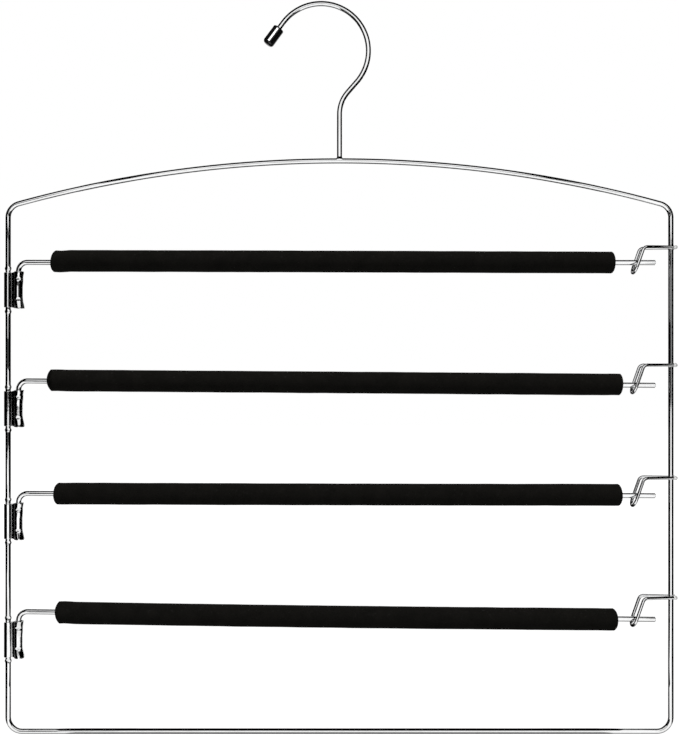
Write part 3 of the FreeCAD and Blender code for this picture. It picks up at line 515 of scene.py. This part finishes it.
def fold_strip():
    """A bracket's strip before it is pressed: one upright edge swept round the leg, along the web, round
    the upright, back along the web and round the leg again. It is folded at the first tier."""
    middle_z = bracket_top(1) - BRACKET_HEIGHT / 2
    end_angle = math.asin(STRIP_END / LEG_BARREL)
    edge_x = LEG_X + LEG_BARREL * math.cos(end_angle)
    half = BRACKET_HEIGHT / 2
    let_go()
    bpy.ops.mesh.primitive_plane_add(
        size=BRACKET_HEIGHT, location=(edge_x - half, STRIP_END, middle_z), rotation=(math.pi / 2, 0, 0)
    )
    bpy.ops.object.transform_apply(location=True, rotation=True, scale=True)
    strip = bpy.context.object
    pick(strip, lambda point: point.x < edge_x - half)
    bpy.ops.mesh.delete(type="VERT")
    bpy.ops.mesh.select_all(action="SELECT")
    bpy.ops.mesh.subdivide(number_cuts=BRACKET_ROWS - 1)

    def sweep(x, y, angle, steps):
        # Spin turns left-handed about its axis.
        bpy.ops.mesh.spin(steps=steps, angle=-angle, center=(x, y, middle_z), axis=UP)

    def slide(length):
        for _ in range(WEB_STEPS):
            step = RIGHT * length / WEB_STEPS
            bpy.ops.mesh.extrude_region_move(TRANSFORM_OT_translate={"value": step})

    fold_y = WEB_PLY + FOLD_RADIUS
    leg_fold = math.asin(fold_y / (LEG_BARREL + FOLD_RADIUS))
    leg_fold_x = LEG_X - (LEG_BARREL + FOLD_RADIUS) * math.cos(leg_fold)
    upright_fold = math.asin(fold_y / (UPRIGHT_BARREL + FOLD_RADIUS))
    upright_fold_x = LEFT_X + (UPRIGHT_BARREL + FOLD_RADIUS) * math.cos(upright_fold)
    web = leg_fold_x - upright_fold_x
    leg_turn = math.pi - leg_fold - end_angle
    sweep(LEG_X, 0, leg_turn, LEG_BARREL_STEPS)
    sweep(leg_fold_x, fold_y, leg_fold - math.pi / 2, FOLD_STEPS)
    slide(-web)
    sweep(upright_fold_x, fold_y, upright_fold - math.pi / 2, FOLD_STEPS)
    sweep(LEFT_X, 0, 2 * (math.pi - upright_fold), UPRIGHT_BARREL_STEPS)
    sweep(upright_fold_x, -fold_y, upright_fold - math.pi / 2, FOLD_STEPS)
    slide(web)
    sweep(leg_fold_x, -fold_y, leg_fold - math.pi / 2, FOLD_STEPS)
    sweep(LEG_X, 0, leg_turn, LEG_BARREL_STEPS)
    bpy.ops.mesh.select_all(action="SELECT")
    bpy.ops.mesh.remove_doubles(threshold=MERGE_DISTANCE)
    bpy.ops.mesh.normals_make_consistent(inside=False)
    bpy.ops.object.mode_set(mode="OBJECT")
    return strip


def press(piece, name, amount, weight, direction="NORMAL"):
    """Presses a piece's skin in or out, or along an axis, by amount where weight, from 0 to 1, is full."""
    group = piece.vertex_groups.new(name=name)
    for vertex in piece.data.vertices:
        share = weight(vertex.co)
        if share > 0:
            group.add([vertex.index], share, "REPLACE")
    dent = piece.modifiers.new(name, "DISPLACE")
    dent.direction = direction
    dent.mid_level = 0
    dent.strength = amount
    dent.vertex_group = name
    bpy.ops.object.modifier_apply(modifier=dent.name)
    piece.vertex_groups.clear()


def make_bracket():
    """A bracket, folded and pressed at the first tier: the leg's barrel is drawn in at its waist, spread
    at its lip and foot and dented by two crimps, and the loop round the upright is a little shorter."""
    strip = fold_strip()
    top = bracket_top(1)
    middle = Vector((LEG_X, 0, top - BRACKET_HEIGHT / 2))

    def free(point):
        return smooth_step(*FREE_SIDE, point.x - LEG_X)

    def lip(point):
        return free(point) * (1 - smooth_step(0, LIP_HEIGHT, top - point.z))

    def foot(point):
        return free(point) * smooth_step(BRACKET_HEIGHT - FOOT_HEIGHT, BRACKET_HEIGHT, top - point.z)

    def waist(point):
        below = top - point.z
        narrowed = smooth_step(*WAIST_NARROWS, below)
        widened = smooth_step(*WAIST_WIDENS, below)
        return free(point) * narrowed * (1 - widened)

    def crimps(point):
        share = 0.0
        for drop in (CRIMP_DROP, CRIMP_DROP + CRIMP_PITCH):
            across = (point.x - LEG_X) / CRIMP_HALF_WIDTH
            along = (point.z - top + drop) / CRIMP_HALF_HEIGHT
            distance = math.hypot(across, along)
            if point.y < 0 and distance < 1:
                share += math.cos(math.pi / 2 * distance) ** CRIMP_ROUNDING
        return share

    press(strip, "lip", LIP_SPREAD, lip)
    press(strip, "foot", FOOT_SPREAD, foot)
    press(strip, "waist", -WAIST_DEPTH, waist)
    press(strip, "crimps", -CRIMP_DEPTH, crimps)
    pick(strip, lambda point: point.x < LOOP_EDGE)
    bpy.ops.transform.resize(
        value=(1, 1, LOOP_HEIGHT / BRACKET_HEIGHT), center_override=middle,
        use_proportional_edit=True, proportional_size=LOOP_EASE, proportional_edit_falloff="SMOOTH",
    )
    bpy.ops.object.mode_set(mode="OBJECT")

    sheet = strip.modifiers.new("sheet", "SOLIDIFY")
    sheet.thickness = STRIP
    sheet.offset = 0
    bpy.ops.object.modifier_apply(modifier=sheet.name)
    edges = strip.modifiers.new("sheared_edges", "BEVEL")
    edges.width = SHEARED_EDGE
    edges.segments = 2
    edges.limit_method = "ANGLE"
    edges.angle_limit = math.radians(50)
    bpy.ops.object.modifier_apply(modifier=edges.name)
    bpy.ops.object.shade_smooth_by_angle(angle=math.radians(35))
    return strip


def copy_bracket(first, tier):
    """A bracket for a tier: the first one's copy, with its place in its own mesh."""
    let_go()
    first.select_set(True)
    bpy.context.view_layer.objects.active = first
    bpy.ops.object.duplicate(linked=False)
    bracket = bpy.context.object
    bracket.name = f"bracket_{tier}"
    bracket.data.name = bracket.name
    bracket.location.z = bracket_top(tier) - bracket_top(1)
    bpy.ops.object.transform_apply(location=True, rotation=True, scale=True)
    return bracket


def sleeve_end(depth, fullness, sharpness):
    """Distances from a sleeve's end and radii there, from the bore out over the rounded cut."""
    end = [(distance, SLEEVE_BORE + flare) for distance, flare in BORE_MOUTH]
    for step in range(SLEEVE_END_RINGS + 1):
        turn = CUT_START + (1 - CUT_START) * step / SLEEVE_END_RINGS
        share = math.sin(math.pi / 2 * turn)
        end.append((depth * (1 - (1 - share ** fullness) ** sharpness), SLEEVE_RADIUS * share))
    return end


def make_sleeve(tier):
    """A foam sleeve: a tube on its arm with rounded, slightly slanted cut ends and an uneven skin."""
    hinge = Vector((LEG_X, 0, arm_z(tier)))
    start = SLEEVE_START[tier] - HINGE_OFFSET
    stop = FRAME_WIDTH - HINGE_OFFSET - SLEEVE_STOP[tier]

    (*near, near_slant), (*far, far_slant) = SLEEVE_ENDS[tier]
    near_end, far_end = sleeve_end(*near), sleeve_end(*far)
    profile = [(start + distance, radius) for distance, radius in near_end]
    body_start = start + near_end[-1][0]
    body_length = stop - far_end[-1][0] - body_start
    for ring in range(1, SLEEVE_RINGS):
        profile.append((body_start + body_length * ring / SLEEVE_RINGS, SLEEVE_RADIUS))
    profile += [(stop - distance, radius) for distance, radius in reversed(far_end)]
    heading = arm_heading(tier)
    sleeve = lathe(f"sleeve_{tier}", hinge, heading, profile, SLEEVE_SIDES)

    lifts = SLEEVE_LIFT[tier]
    most = max(lifts, key=abs)

    def lift(point):
        along = (point - hinge).dot(heading)
        off_axis = (point - hinge - heading * along).length
        share = (along - start) / (stop - start)
        near, half_way, far = lifts
        bow = 4 * share * (1 - share) * (half_way - (near + far) / 2)
        here = near + (far - near) * share + bow
        return smooth_step(SLEEVE_BORE, SLEEVE_CORE, off_axis) * max(here / most, 0)

    press(sleeve, "lift", most, lift, "Z")

    def slant(place, amount):
        middle = hinge + heading * place
        pick(sleeve, lambda point: abs((point - hinge).dot(heading) - place) < SLANT_DEPTH)
        bpy.ops.transform.rotate(
            value=amount / (2 * SLEEVE_RADIUS), orient_axis="Y", center_override=middle,
            use_proportional_edit=True, proportional_size=SLANT_EASE, proportional_edit_falloff="SMOOTH",
        )
        bpy.ops.object.mode_set(mode="OBJECT")

    slant(start, near_slant)
    slant(stop, -far_slant)

    lumps = bpy.data.textures.new(f"foam_lumps_{tier}", "CLOUDS")
    lumps.noise_scale = FOAM_LUMP
    lumps.noise_depth = 2
    uneven = sleeve.modifiers.new("uneven", "DISPLACE")
    uneven.texture = lumps
    uneven.texture_coords = "LOCAL"
    uneven.strength = FOAM_UNEVENNESS
    uneven.mid_level = 0.6
    bpy.ops.object.modifier_apply(modifier=uneven.name)
    return sleeve


def new_group(name, inputs, outputs):
    """An empty shader node group with its sockets, its input node and its output node."""
    group = bpy.data.node_groups.new(name, "ShaderNodeTree")
    for label, value in inputs:
        socket = group.interface.new_socket(label, in_out="INPUT", socket_type="NodeSocketFloat")
        socket.default_value = value
    for label in outputs:
        group.interface.new_socket(label, in_out="OUTPUT", socket_type="NodeSocketFloat")
    return group, group.nodes.new("NodeGroupInput"), group.nodes.new("NodeGroupOutput")


def noise(tree, scale, detail, roughness=0.5):
    """A noise texture on object coordinates; scale is a number of lumps per metre or a socket."""
    place = tree.nodes.new("ShaderNodeTexCoord")
    texture = tree.nodes.new("ShaderNodeTexNoise")
    texture.inputs["Detail"].default_value = detail
    texture.inputs["Roughness"].default_value = roughness
    tree.links.new(place.outputs["Object"], texture.inputs["Vector"])
    if isinstance(scale, (int, float)):
        texture.inputs["Scale"].default_value = scale
    else:
        tree.links.new(scale, texture.inputs["Scale"])
    return texture.outputs["Fac"]


def spread(tree, value, low, high, to_low=0.0, to_high=1.0):
    """A value mapped from one range to another and held inside it."""
    ranged = tree.nodes.new("ShaderNodeMapRange")
    ranged.inputs["From Min"].default_value = low
    ranged.inputs["From Max"].default_value = high
    ranged.inputs["To Min"].default_value = to_low
    ranged.inputs["To Max"].default_value = to_high
    tree.links.new(value, ranged.inputs["Value"])
    return ranged.outputs["Result"]


def math_node(tree, operation, first, second):
    """Two values, or a value and a number, put together."""
    node = tree.nodes.new("ShaderNodeMath")
    node.operation = operation
    for socket, value in zip(node.inputs, (first, second)):
        if isinstance(value, (int, float)):
            socket.default_value = value
        else:
            tree.links.new(value, socket)
    return node.outputs["Value"]


def mix_colours(tree, share, first, second):
    """A colour between two, each a triple or a socket, by a share from 0 to 1."""
    node = tree.nodes.new("ShaderNodeMix")
    node.data_type = "RGBA"
    tree.links.new(share, node.inputs["Factor"])
    # Its colour sockets come after those for numbers and vectors.
    for socket, colour in ((node.inputs[6], first), (node.inputs[7], second)):
        if isinstance(colour, tuple):
            socket.default_value = (*colour, 1)
        else:
            tree.links.new(colour, socket)
    return node.outputs[2]


def handling_group():
    """Marks of handling on a smooth skin: cloudy haze from fingers, and fine rubbed specks."""
    group, given, result = new_group(
        "handling_marks", (("Patches per metre", 60.0), ("Specks per metre", 2500.0)), ("Haze", "Rubs")
    )
    patches = noise(group, given.outputs["Patches per metre"], 4, 0.6)
    specks = noise(group, given.outputs["Specks per metre"], 2, 0.7)
    group.links.new(spread(group, patches, 0.42, 0.72), result.inputs["Haze"])
    group.links.new(spread(group, specks, 0.60, 0.72), result.inputs["Rubs"])
    return group


def dust_group():
    """Lint and dust that lie on upward faces."""
    group, given, result = new_group(
        "settled_dust", (("Grains per metre", 900.0), ("Cover", 1.0)), ("Dust",)
    )
    grains = spread(group, noise(group, given.outputs["Grains per metre"], 3, 0.8), 0.60, 0.78)
    facing = group.nodes.new("ShaderNodeNewGeometry")
    split = group.nodes.new("ShaderNodeSeparateXYZ")
    group.links.new(facing.outputs["Normal"], split.inputs["Vector"])
    upward = spread(group, split.outputs["Z"], -0.3, 1.0)
    settled = math_node(group, "MULTIPLY", grains, upward)
    cover = math_node(group, "MULTIPLY", settled, given.outputs["Cover"])
    group.links.new(cover, result.inputs["Dust"])
    return group


def place_group(tree, group, **values):
    """A node group placed in a material with its own values."""
    node = tree.nodes.new("ShaderNodeGroup")
    node.node_tree = group
    for label, value in values.items():
        node.inputs[label.replace("_", " ")].default_value = value
    return node


def new_finish(name, **constants):
    """A material, its node tree and its shader, with what is the same all over set on the sockets."""
    finish = bpy.data.materials.new(name)
    finish.use_nodes = True
    shader = finish.node_tree.nodes["Principled BSDF"]
    for label, value in constants.items():
        shader.inputs[label.replace("_", " ")].default_value = value
    return finish, finish.node_tree, shader


def add_bump(tree, shader, height, depth):
    """Relief of a given depth, in metres, on the shader's normal."""
    bump = tree.nodes.new("ShaderNodeBump")
    bump.inputs["Strength"].default_value = 1.0
    bump.inputs["Distance"].default_value = depth
    tree.links.new(height, bump.inputs["Height"])
    tree.links.new(bump.outputs["Normal"], shader.inputs["Normal"])


def chrome(name, handling, dust, patches, clear, hazed, polish, ripple, ripple_depth):
    """Bright plating: hazed where it is handled, rubbed in specks, and rippled as drawn or pressed."""
    finish, tree, shader = new_finish(name, Metallic=1.0)
    marks = place_group(tree, handling, Patches_per_metre=patches)
    lint = place_group(tree, dust, Cover=0.25)
    colour = mix_colours(tree, marks.outputs["Haze"], clear, hazed)
    colour = mix_colours(tree, lint.outputs["Dust"], colour, (0.55, 0.54, 0.52))
    tree.links.new(colour, shader.inputs["Base Color"])
    dull = spread(tree, marks.outputs["Haze"], 0, 1, polish, polish + 0.07)
    rubbed = spread(tree, marks.outputs["Rubs"], 0, 1, 0, 0.08)
    tree.links.new(math_node(tree, "ADD", dull, rubbed), shader.inputs["Roughness"])
    add_bump(tree, shader, noise(tree, ripple, 2), ripple_depth)
    return finish


def paint_fold_shade(finish):
    """Painted shade: the fold between a bracket's two barrels is painted near-black in its base colour, in
    place of the dark reflections it shows.
    """
    tree = finish.node_tree
    bright = tree.nodes["Principled BSDF"].inputs["Base Color"]
    place = tree.nodes.new("ShaderNodeTexCoord")
    split = tree.nodes.new("ShaderNodeSeparateXYZ")
    tree.links.new(place.outputs["Object"], split.inputs["Vector"])
    past_upright = spread(tree, split.outputs["X"], *FOLD_SHADE_BEGINS)
    before_leg = spread(tree, split.outputs["X"], *FOLD_SHADE_ENDS, 1, 0)
    fold = math_node(tree, "MULTIPLY", past_upright, before_leg)
    # Painted shade: the base colour turns near-black between the barrels.
    colour = mix_colours(tree, fold, bright.links[0].from_socket, (0.03, 0.03, 0.03))
    tree.links.new(colour, bright)


def foam_finish(dust):
    """Black foam: fine open cells on a mottled skin, with a little lint on top."""
    finish, tree, shader = new_finish("black_foam", Specular_IOR_Level=0.02)
    place = tree.nodes.new("ShaderNodeTexCoord")
    cells = tree.nodes.new("ShaderNodeTexVoronoi")
    cells.inputs["Scale"].default_value = 2600
    tree.links.new(place.outputs["Object"], cells.inputs["Vector"])
    cell = spread(tree, cells.outputs["Distance"], 0.1, 0.7)
    mottle = spread(tree, noise(tree, 140, 5, 0.65), 0.35, 0.68)
    lint = place_group(tree, dust, Grains_per_metre=420.0, Cover=0.35)
    colour = mix_colours(tree, mottle, (0.0032, 0.0031, 0.0026), (0.0062, 0.0058, 0.0050))
    colour = mix_colours(tree, math_node(tree, "MULTIPLY", cell, 0.5), colour, (0.0085, 0.0080, 0.0072))
    colour = mix_colours(tree, lint.outputs["Dust"], colour, (0.045, 0.044, 0.042))
    tree.links.new(colour, shader.inputs["Base Color"])
    tree.links.new(spread(tree, mottle, 0, 1, 0.80, 0.95), shader.inputs["Roughness"])
    relief = math_node(tree, "ADD", cell, math_node(tree, "MULTIPLY", noise(tree, 700, 3), 0.8))
    add_bump(tree, shader, relief, 0.10 * MM)
    return finish


def vinyl_finish(handling, dust):
    """Black dipped vinyl: glossy, faintly sagged from the dip and smeared by fingers."""
    finish, tree, shader = new_finish("black_vinyl", Specular_IOR_Level=0.5)
    marks = place_group(tree, handling, Patches_per_metre=220.0, Specks_per_metre=4000.0)
    lint = place_group(tree, dust, Grains_per_metre=1500.0, Cover=0.2)
    colour = mix_colours(tree, marks.outputs["Haze"], (0.0018, 0.0018, 0.0019), (0.0036, 0.0035, 0.0034))
    colour = mix_colours(tree, lint.outputs["Dust"], colour, (0.04, 0.04, 0.038))
    tree.links.new(colour, shader.inputs["Base Color"])
    gloss = spread(tree, marks.outputs["Haze"], 0, 1, 0.10, 0.15)
    rubbed = spread(tree, marks.outputs["Rubs"], 0, 1, 0, 0.06)
    tree.links.new(math_node(tree, "ADD", gloss, rubbed), shader.inputs["Roughness"])
    add_bump(tree, shader, noise(tree, 260, 2), 0.025 * MM)
    return finish


def steel_finish(handling):
    """A sheared wire end: bare steel, dull and a little browned."""
    finish, tree, shader = new_finish("cut_steel", Metallic=1.0)
    marks = place_group(tree, handling, Patches_per_metre=900.0, Specks_per_metre=6000.0)
    colour = mix_colours(tree, marks.outputs["Haze"], (0.60, 0.58, 0.55), (0.36, 0.29, 0.23))
    tree.links.new(colour, shader.inputs["Base Color"])
    tree.links.new(spread(tree, marks.outputs["Rubs"], 0, 1, 0.30, 0.55), shader.inputs["Roughness"])
    add_bump(tree, shader, noise(tree, 3000, 2), 0.03 * MM)
    return finish


def weld_finish(handling):
    """A catch's melted end under the plating: bright, but frosted by the weld."""
    finish, tree, shader = new_finish("frosted_weld", Metallic=0.6)
    marks = place_group(tree, handling, Patches_per_metre=700.0, Specks_per_metre=5000.0)
    colour = mix_colours(tree, marks.outputs["Haze"], (0.97, 0.97, 0.965), (0.88, 0.88, 0.87))
    tree.links.new(colour, shader.inputs["Base Color"])
    tree.links.new(spread(tree, marks.outputs["Rubs"], 0, 1, 0.45, 0.60), shader.inputs["Roughness"])
    add_bump(tree, shader, noise(tree, 2000, 2), 0.02 * MM)
    return finish


def dress(piece, body, node, finish):
    """Hands a finished piece over: its body, the solid that it stands for and its finish."""
    piece.data.materials.clear()
    piece.data.materials.append(finish)
    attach(piece, body)
    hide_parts(node)


def dress_cut_ends(piece, heading, steel):
    """Bare steel on the flat ends of a wire that face along or against a heading."""
    piece.data.materials.append(steel)
    for face in piece.data.polygons:
        if len(face.vertices) > 4 and abs(face.normal.dot(heading)) > 0.9:
            face.material_index = 1


def dress_weld(piece, weld):
    """A frosted skin on the ends of a catch, over the length of its melted balls."""
    piece.data.materials.append(weld)
    for face in piece.data.polygons:
        if face.center.x > RIGHT_X + CATCH_TAIL - CATCH_BALL[-1][0]:
            face.material_index = 1


def set_camera():
    """The camera square on to the hanger, as in the photograph."""
    lens = bpy.data.cameras.new("camera")
    lens.sensor_fit = "VERTICAL"
    lens.sensor_height = 36.0
    lens.lens = CAMERA_LENS
    camera = bpy.data.objects.new("camera", lens)
    bpy.context.scene.collection.objects.link(camera)
    camera.location = (STEM_X, -CAMERA_DISTANCE, CAMERA_Z)
    camera.rotation_euler = (math.pi / 2, 0, 0)
    bpy.context.scene.camera = camera


def seen_rays(tree):
    """1 for rays that see the studio itself or its mirror image, 0 for rays that only carry its light."""
    path = tree.nodes.new("ShaderNodeLightPath")
    seen = math_node(tree, "MAXIMUM", path.outputs["Is Camera Ray"], path.outputs["Is Glossy Ray"])
    return math_node(tree, "MAXIMUM", seen, path.outputs["Is Transmission Ray"])


def set_world():
    """A white studio to look at, and an even soft light from all round."""
    world = bpy.data.worlds.new("studio")
    bpy.context.scene.world = world
    world.use_nodes = True
    tree = world.node_tree
    light = tree.nodes["Background"]
    light.inputs["Color"].default_value = (1, 1, 1, 1)
    strength = spread(tree, seen_rays(tree), 0, 1, WORLD_LIGHT, 1.0)
    tree.links.new(strength, light.inputs["Strength"])


def lay_floor():
    """A pale floor below the hanging hanger. It takes the hanger's shadow, and glows up to the white of the
    backdrop: near the middle only for the eye, farther out in reflections as well."""
    let_go()
    bpy.ops.mesh.primitive_plane_add(size=FLOOR_SIZE, location=(0, 0, FLOOR_Z))
    floor = bpy.context.object
    floor.name = "floor"
    finish = bpy.data.materials.new("pale_floor")
    finish.use_nodes = True
    tree = finish.node_tree
    shader = tree.nodes["Principled BSDF"]
    shader.inputs["Base Color"].default_value = (FLOOR_GREY, FLOOR_GREY, FLOOR_GREY, 1)
    shader.inputs["Roughness"].default_value = 1.0
    shader.inputs["Specular IOR Level"].default_value = 0.0
    shader.inputs["Emission Color"].default_value = (1, 1, 1, 1)
    place = tree.nodes.new("ShaderNodeTexCoord")
    reach = tree.nodes.new("ShaderNodeVectorMath")
    reach.operation = "LENGTH"
    tree.links.new(place.outputs["Object"], reach.inputs[0])
    far = spread(tree, reach.outputs["Value"], *GLOW_SPREAD, 0, FAR_GLOW)
    near = spread(tree, reach.outputs["Value"], *GLOW_SPREAD, NEAR_GLOW, 0)
    rays = tree.nodes.new("ShaderNodeLightPath")
    far_glow = math_node(tree, "MULTIPLY", far, seen_rays(tree))
    near_glow = math_node(tree, "MULTIPLY", near, rays.outputs["Is Camera Ray"])
    tree.links.new(math_node(tree, "ADD", far_glow, near_glow), shader.inputs["Emission Strength"])
    floor.data.materials.append(finish)


def hang_card(name, grey, corners):
    """A flat card that only shows in reflections, as the cards and gear round a studio table do."""
    let_go()
    bpy.ops.mesh.primitive_plane_add(size=1)
    card = bpy.context.object
    card.name = name
    for vertex, corner in zip(card.data.vertices, corners):
        vertex.co = corner
    finish = bpy.data.materials.new(name)
    finish.use_nodes = True
    tree = finish.node_tree
    tree.nodes.remove(tree.nodes["Principled BSDF"])
    glow = tree.nodes.new("ShaderNodeEmission")
    glow.inputs["Color"].default_value = (grey, grey, grey, 1)
    tree.links.new(glow.outputs["Emission"], tree.nodes["Material Output"].inputs["Surface"])
    card.data.materials.append(finish)
    card.visible_camera = False
    card.visible_diffuse = False
    card.visible_transmission = False
    card.visible_volume_scatter = False
    card.visible_shadow = False


def hang_cards():
    """All the cards of the studio, from their tables."""
    for name, grey, side, (front, back), (low, high) in UPRIGHT_CARDS:
        x = STEM_X + side
        hang_card(name, grey, ((x, front, low), (x, back, low), (x, front, high), (x, back, high)))
    for name, grey, (left, right), y, (low, high) in FRONT_CARDS:
        left, right = STEM_X + left, STEM_X + right
        hang_card(name, grey, ((left, y, low), (right, y, low), (left, y, high), (right, y, high)))
    for name, grey, reach, (front, back), z in LEVEL_CARDS:
        left, right = STEM_X - reach, STEM_X + reach
        hang_card(name, grey, ((left, front, z), (right, front, z), (left, back, z), (right, back, z)))


def hang_lamp(name, at, aim, size, power):
    """An area lamp that points at a place."""
    lamp = bpy.data.lights.new(name, "AREA")
    lamp.shape = "RECTANGLE"
    lamp.size, lamp.size_y = size
    lamp.energy = power
    holder = bpy.data.objects.new(name, lamp)
    bpy.context.scene.collection.objects.link(holder)
    holder.rotation_euler = (Vector(aim) - Vector(at)).to_track_quat("-Z", "Y").to_euler()
    holder.location = at
    return holder


def gleam_on_cap(cap):
    """The lamp whose long gleam shows on the cap: its short side lies along the cap, and it lights
    nothing else."""
    tip = math.radians(HOOK_TIP_ANGLE)
    along = Vector((-math.sin(tip), 0, math.cos(tip)))
    # Corners 0 and 6 of its box lie opposite each other.
    middle = Vector(cap.bound_box[0]).lerp(Vector(cap.bound_box[6]), 0.5)
    towards = Vector(GLEAM_FROM).normalized()
    lamp = hang_lamp("gleam_lamp", middle + towards * GLEAM_DISTANCE, middle, GLEAM_SIZE, GLEAM_POWER)
    short_side = (along - towards * along.dot(towards)).normalized()
    long_side = short_side.cross(towards)
    lamp.rotation_euler = Matrix((long_side, short_side, towards)).transposed().to_euler()
    lit = bpy.data.collections.new("lit_by_gleam_lamp")
    lit.objects.link(cap)
    lamp.light_linking.receiver_collection = lit


def light_studio():
    """Soft light from above and all round, and the cards that draw the dark lines on the bright wires."""
    set_world()
    lay_floor()
    overhead = hang_lamp("overhead_lamp", OVERHEAD_PLACE, OVERHEAD_AIM, OVERHEAD_SIZE, OVERHEAD_POWER)
    overhead.visible_glossy = False
    hang_cards()


set_camera()
light_studio()

handling = handling_group()
dust = dust_group()
wire_chrome = chrome(
    "chrome_wire", handling, dust, patches=70.0, clear=(0.93, 0.935, 0.94), hazed=(0.84, 0.84, 0.835),
    polish=0.03, ripple=140, ripple_depth=0.012 * MM,
)
strip_chrome = chrome(
    "chrome_strip", handling, dust, patches=260.0, clear=(0.92, 0.925, 0.93), hazed=(0.78, 0.78, 0.77),
    polish=0.05, ripple=500, ripple_depth=0.015 * MM,
)
# Painted shade in the brackets' fold: its colour is darkened there.
paint_fold_shade(strip_chrome)
foam = foam_finish(dust)
vinyl = vinyl_finish(handling, dust)
steel = steel_finish(handling)
weld = weld_finish(handling)

dress(bend_frame(), "frame", "frame_wire", wire_chrome)
dress(bend_hook(), "frame", "hook_wire", wire_chrome)
cap = dip_cap()
dress(cap, "frame", "hook_tip_cap", vinyl)
gleam_on_cap(cap)
first_bracket = make_bracket()
for tier in TIERS:
    body = f"arm_{tier}"
    dress(copy_bracket(first_bracket, tier), body, f"hinge_bracket_{tier}", strip_chrome)
    arm = bend_arm(tier)
    dress(arm, body, f"swing_arm_{tier}", wire_chrome)
    dress_cut_ends(arm, arm_heading(tier), steel)
    sleeve = make_sleeve(tier)
    dress(sleeve, body, f"foam_sleeve_{tier}", foam)
    catch = bend_catch(tier)
    dress(catch, "frame", f"arm_catch_{tier}", wire_chrome)
    dress_weld(catch, weld)
bpy.data.objects.remove(first_bracket)

bpy.context.scene.view_settings.view_transform = "Standard"
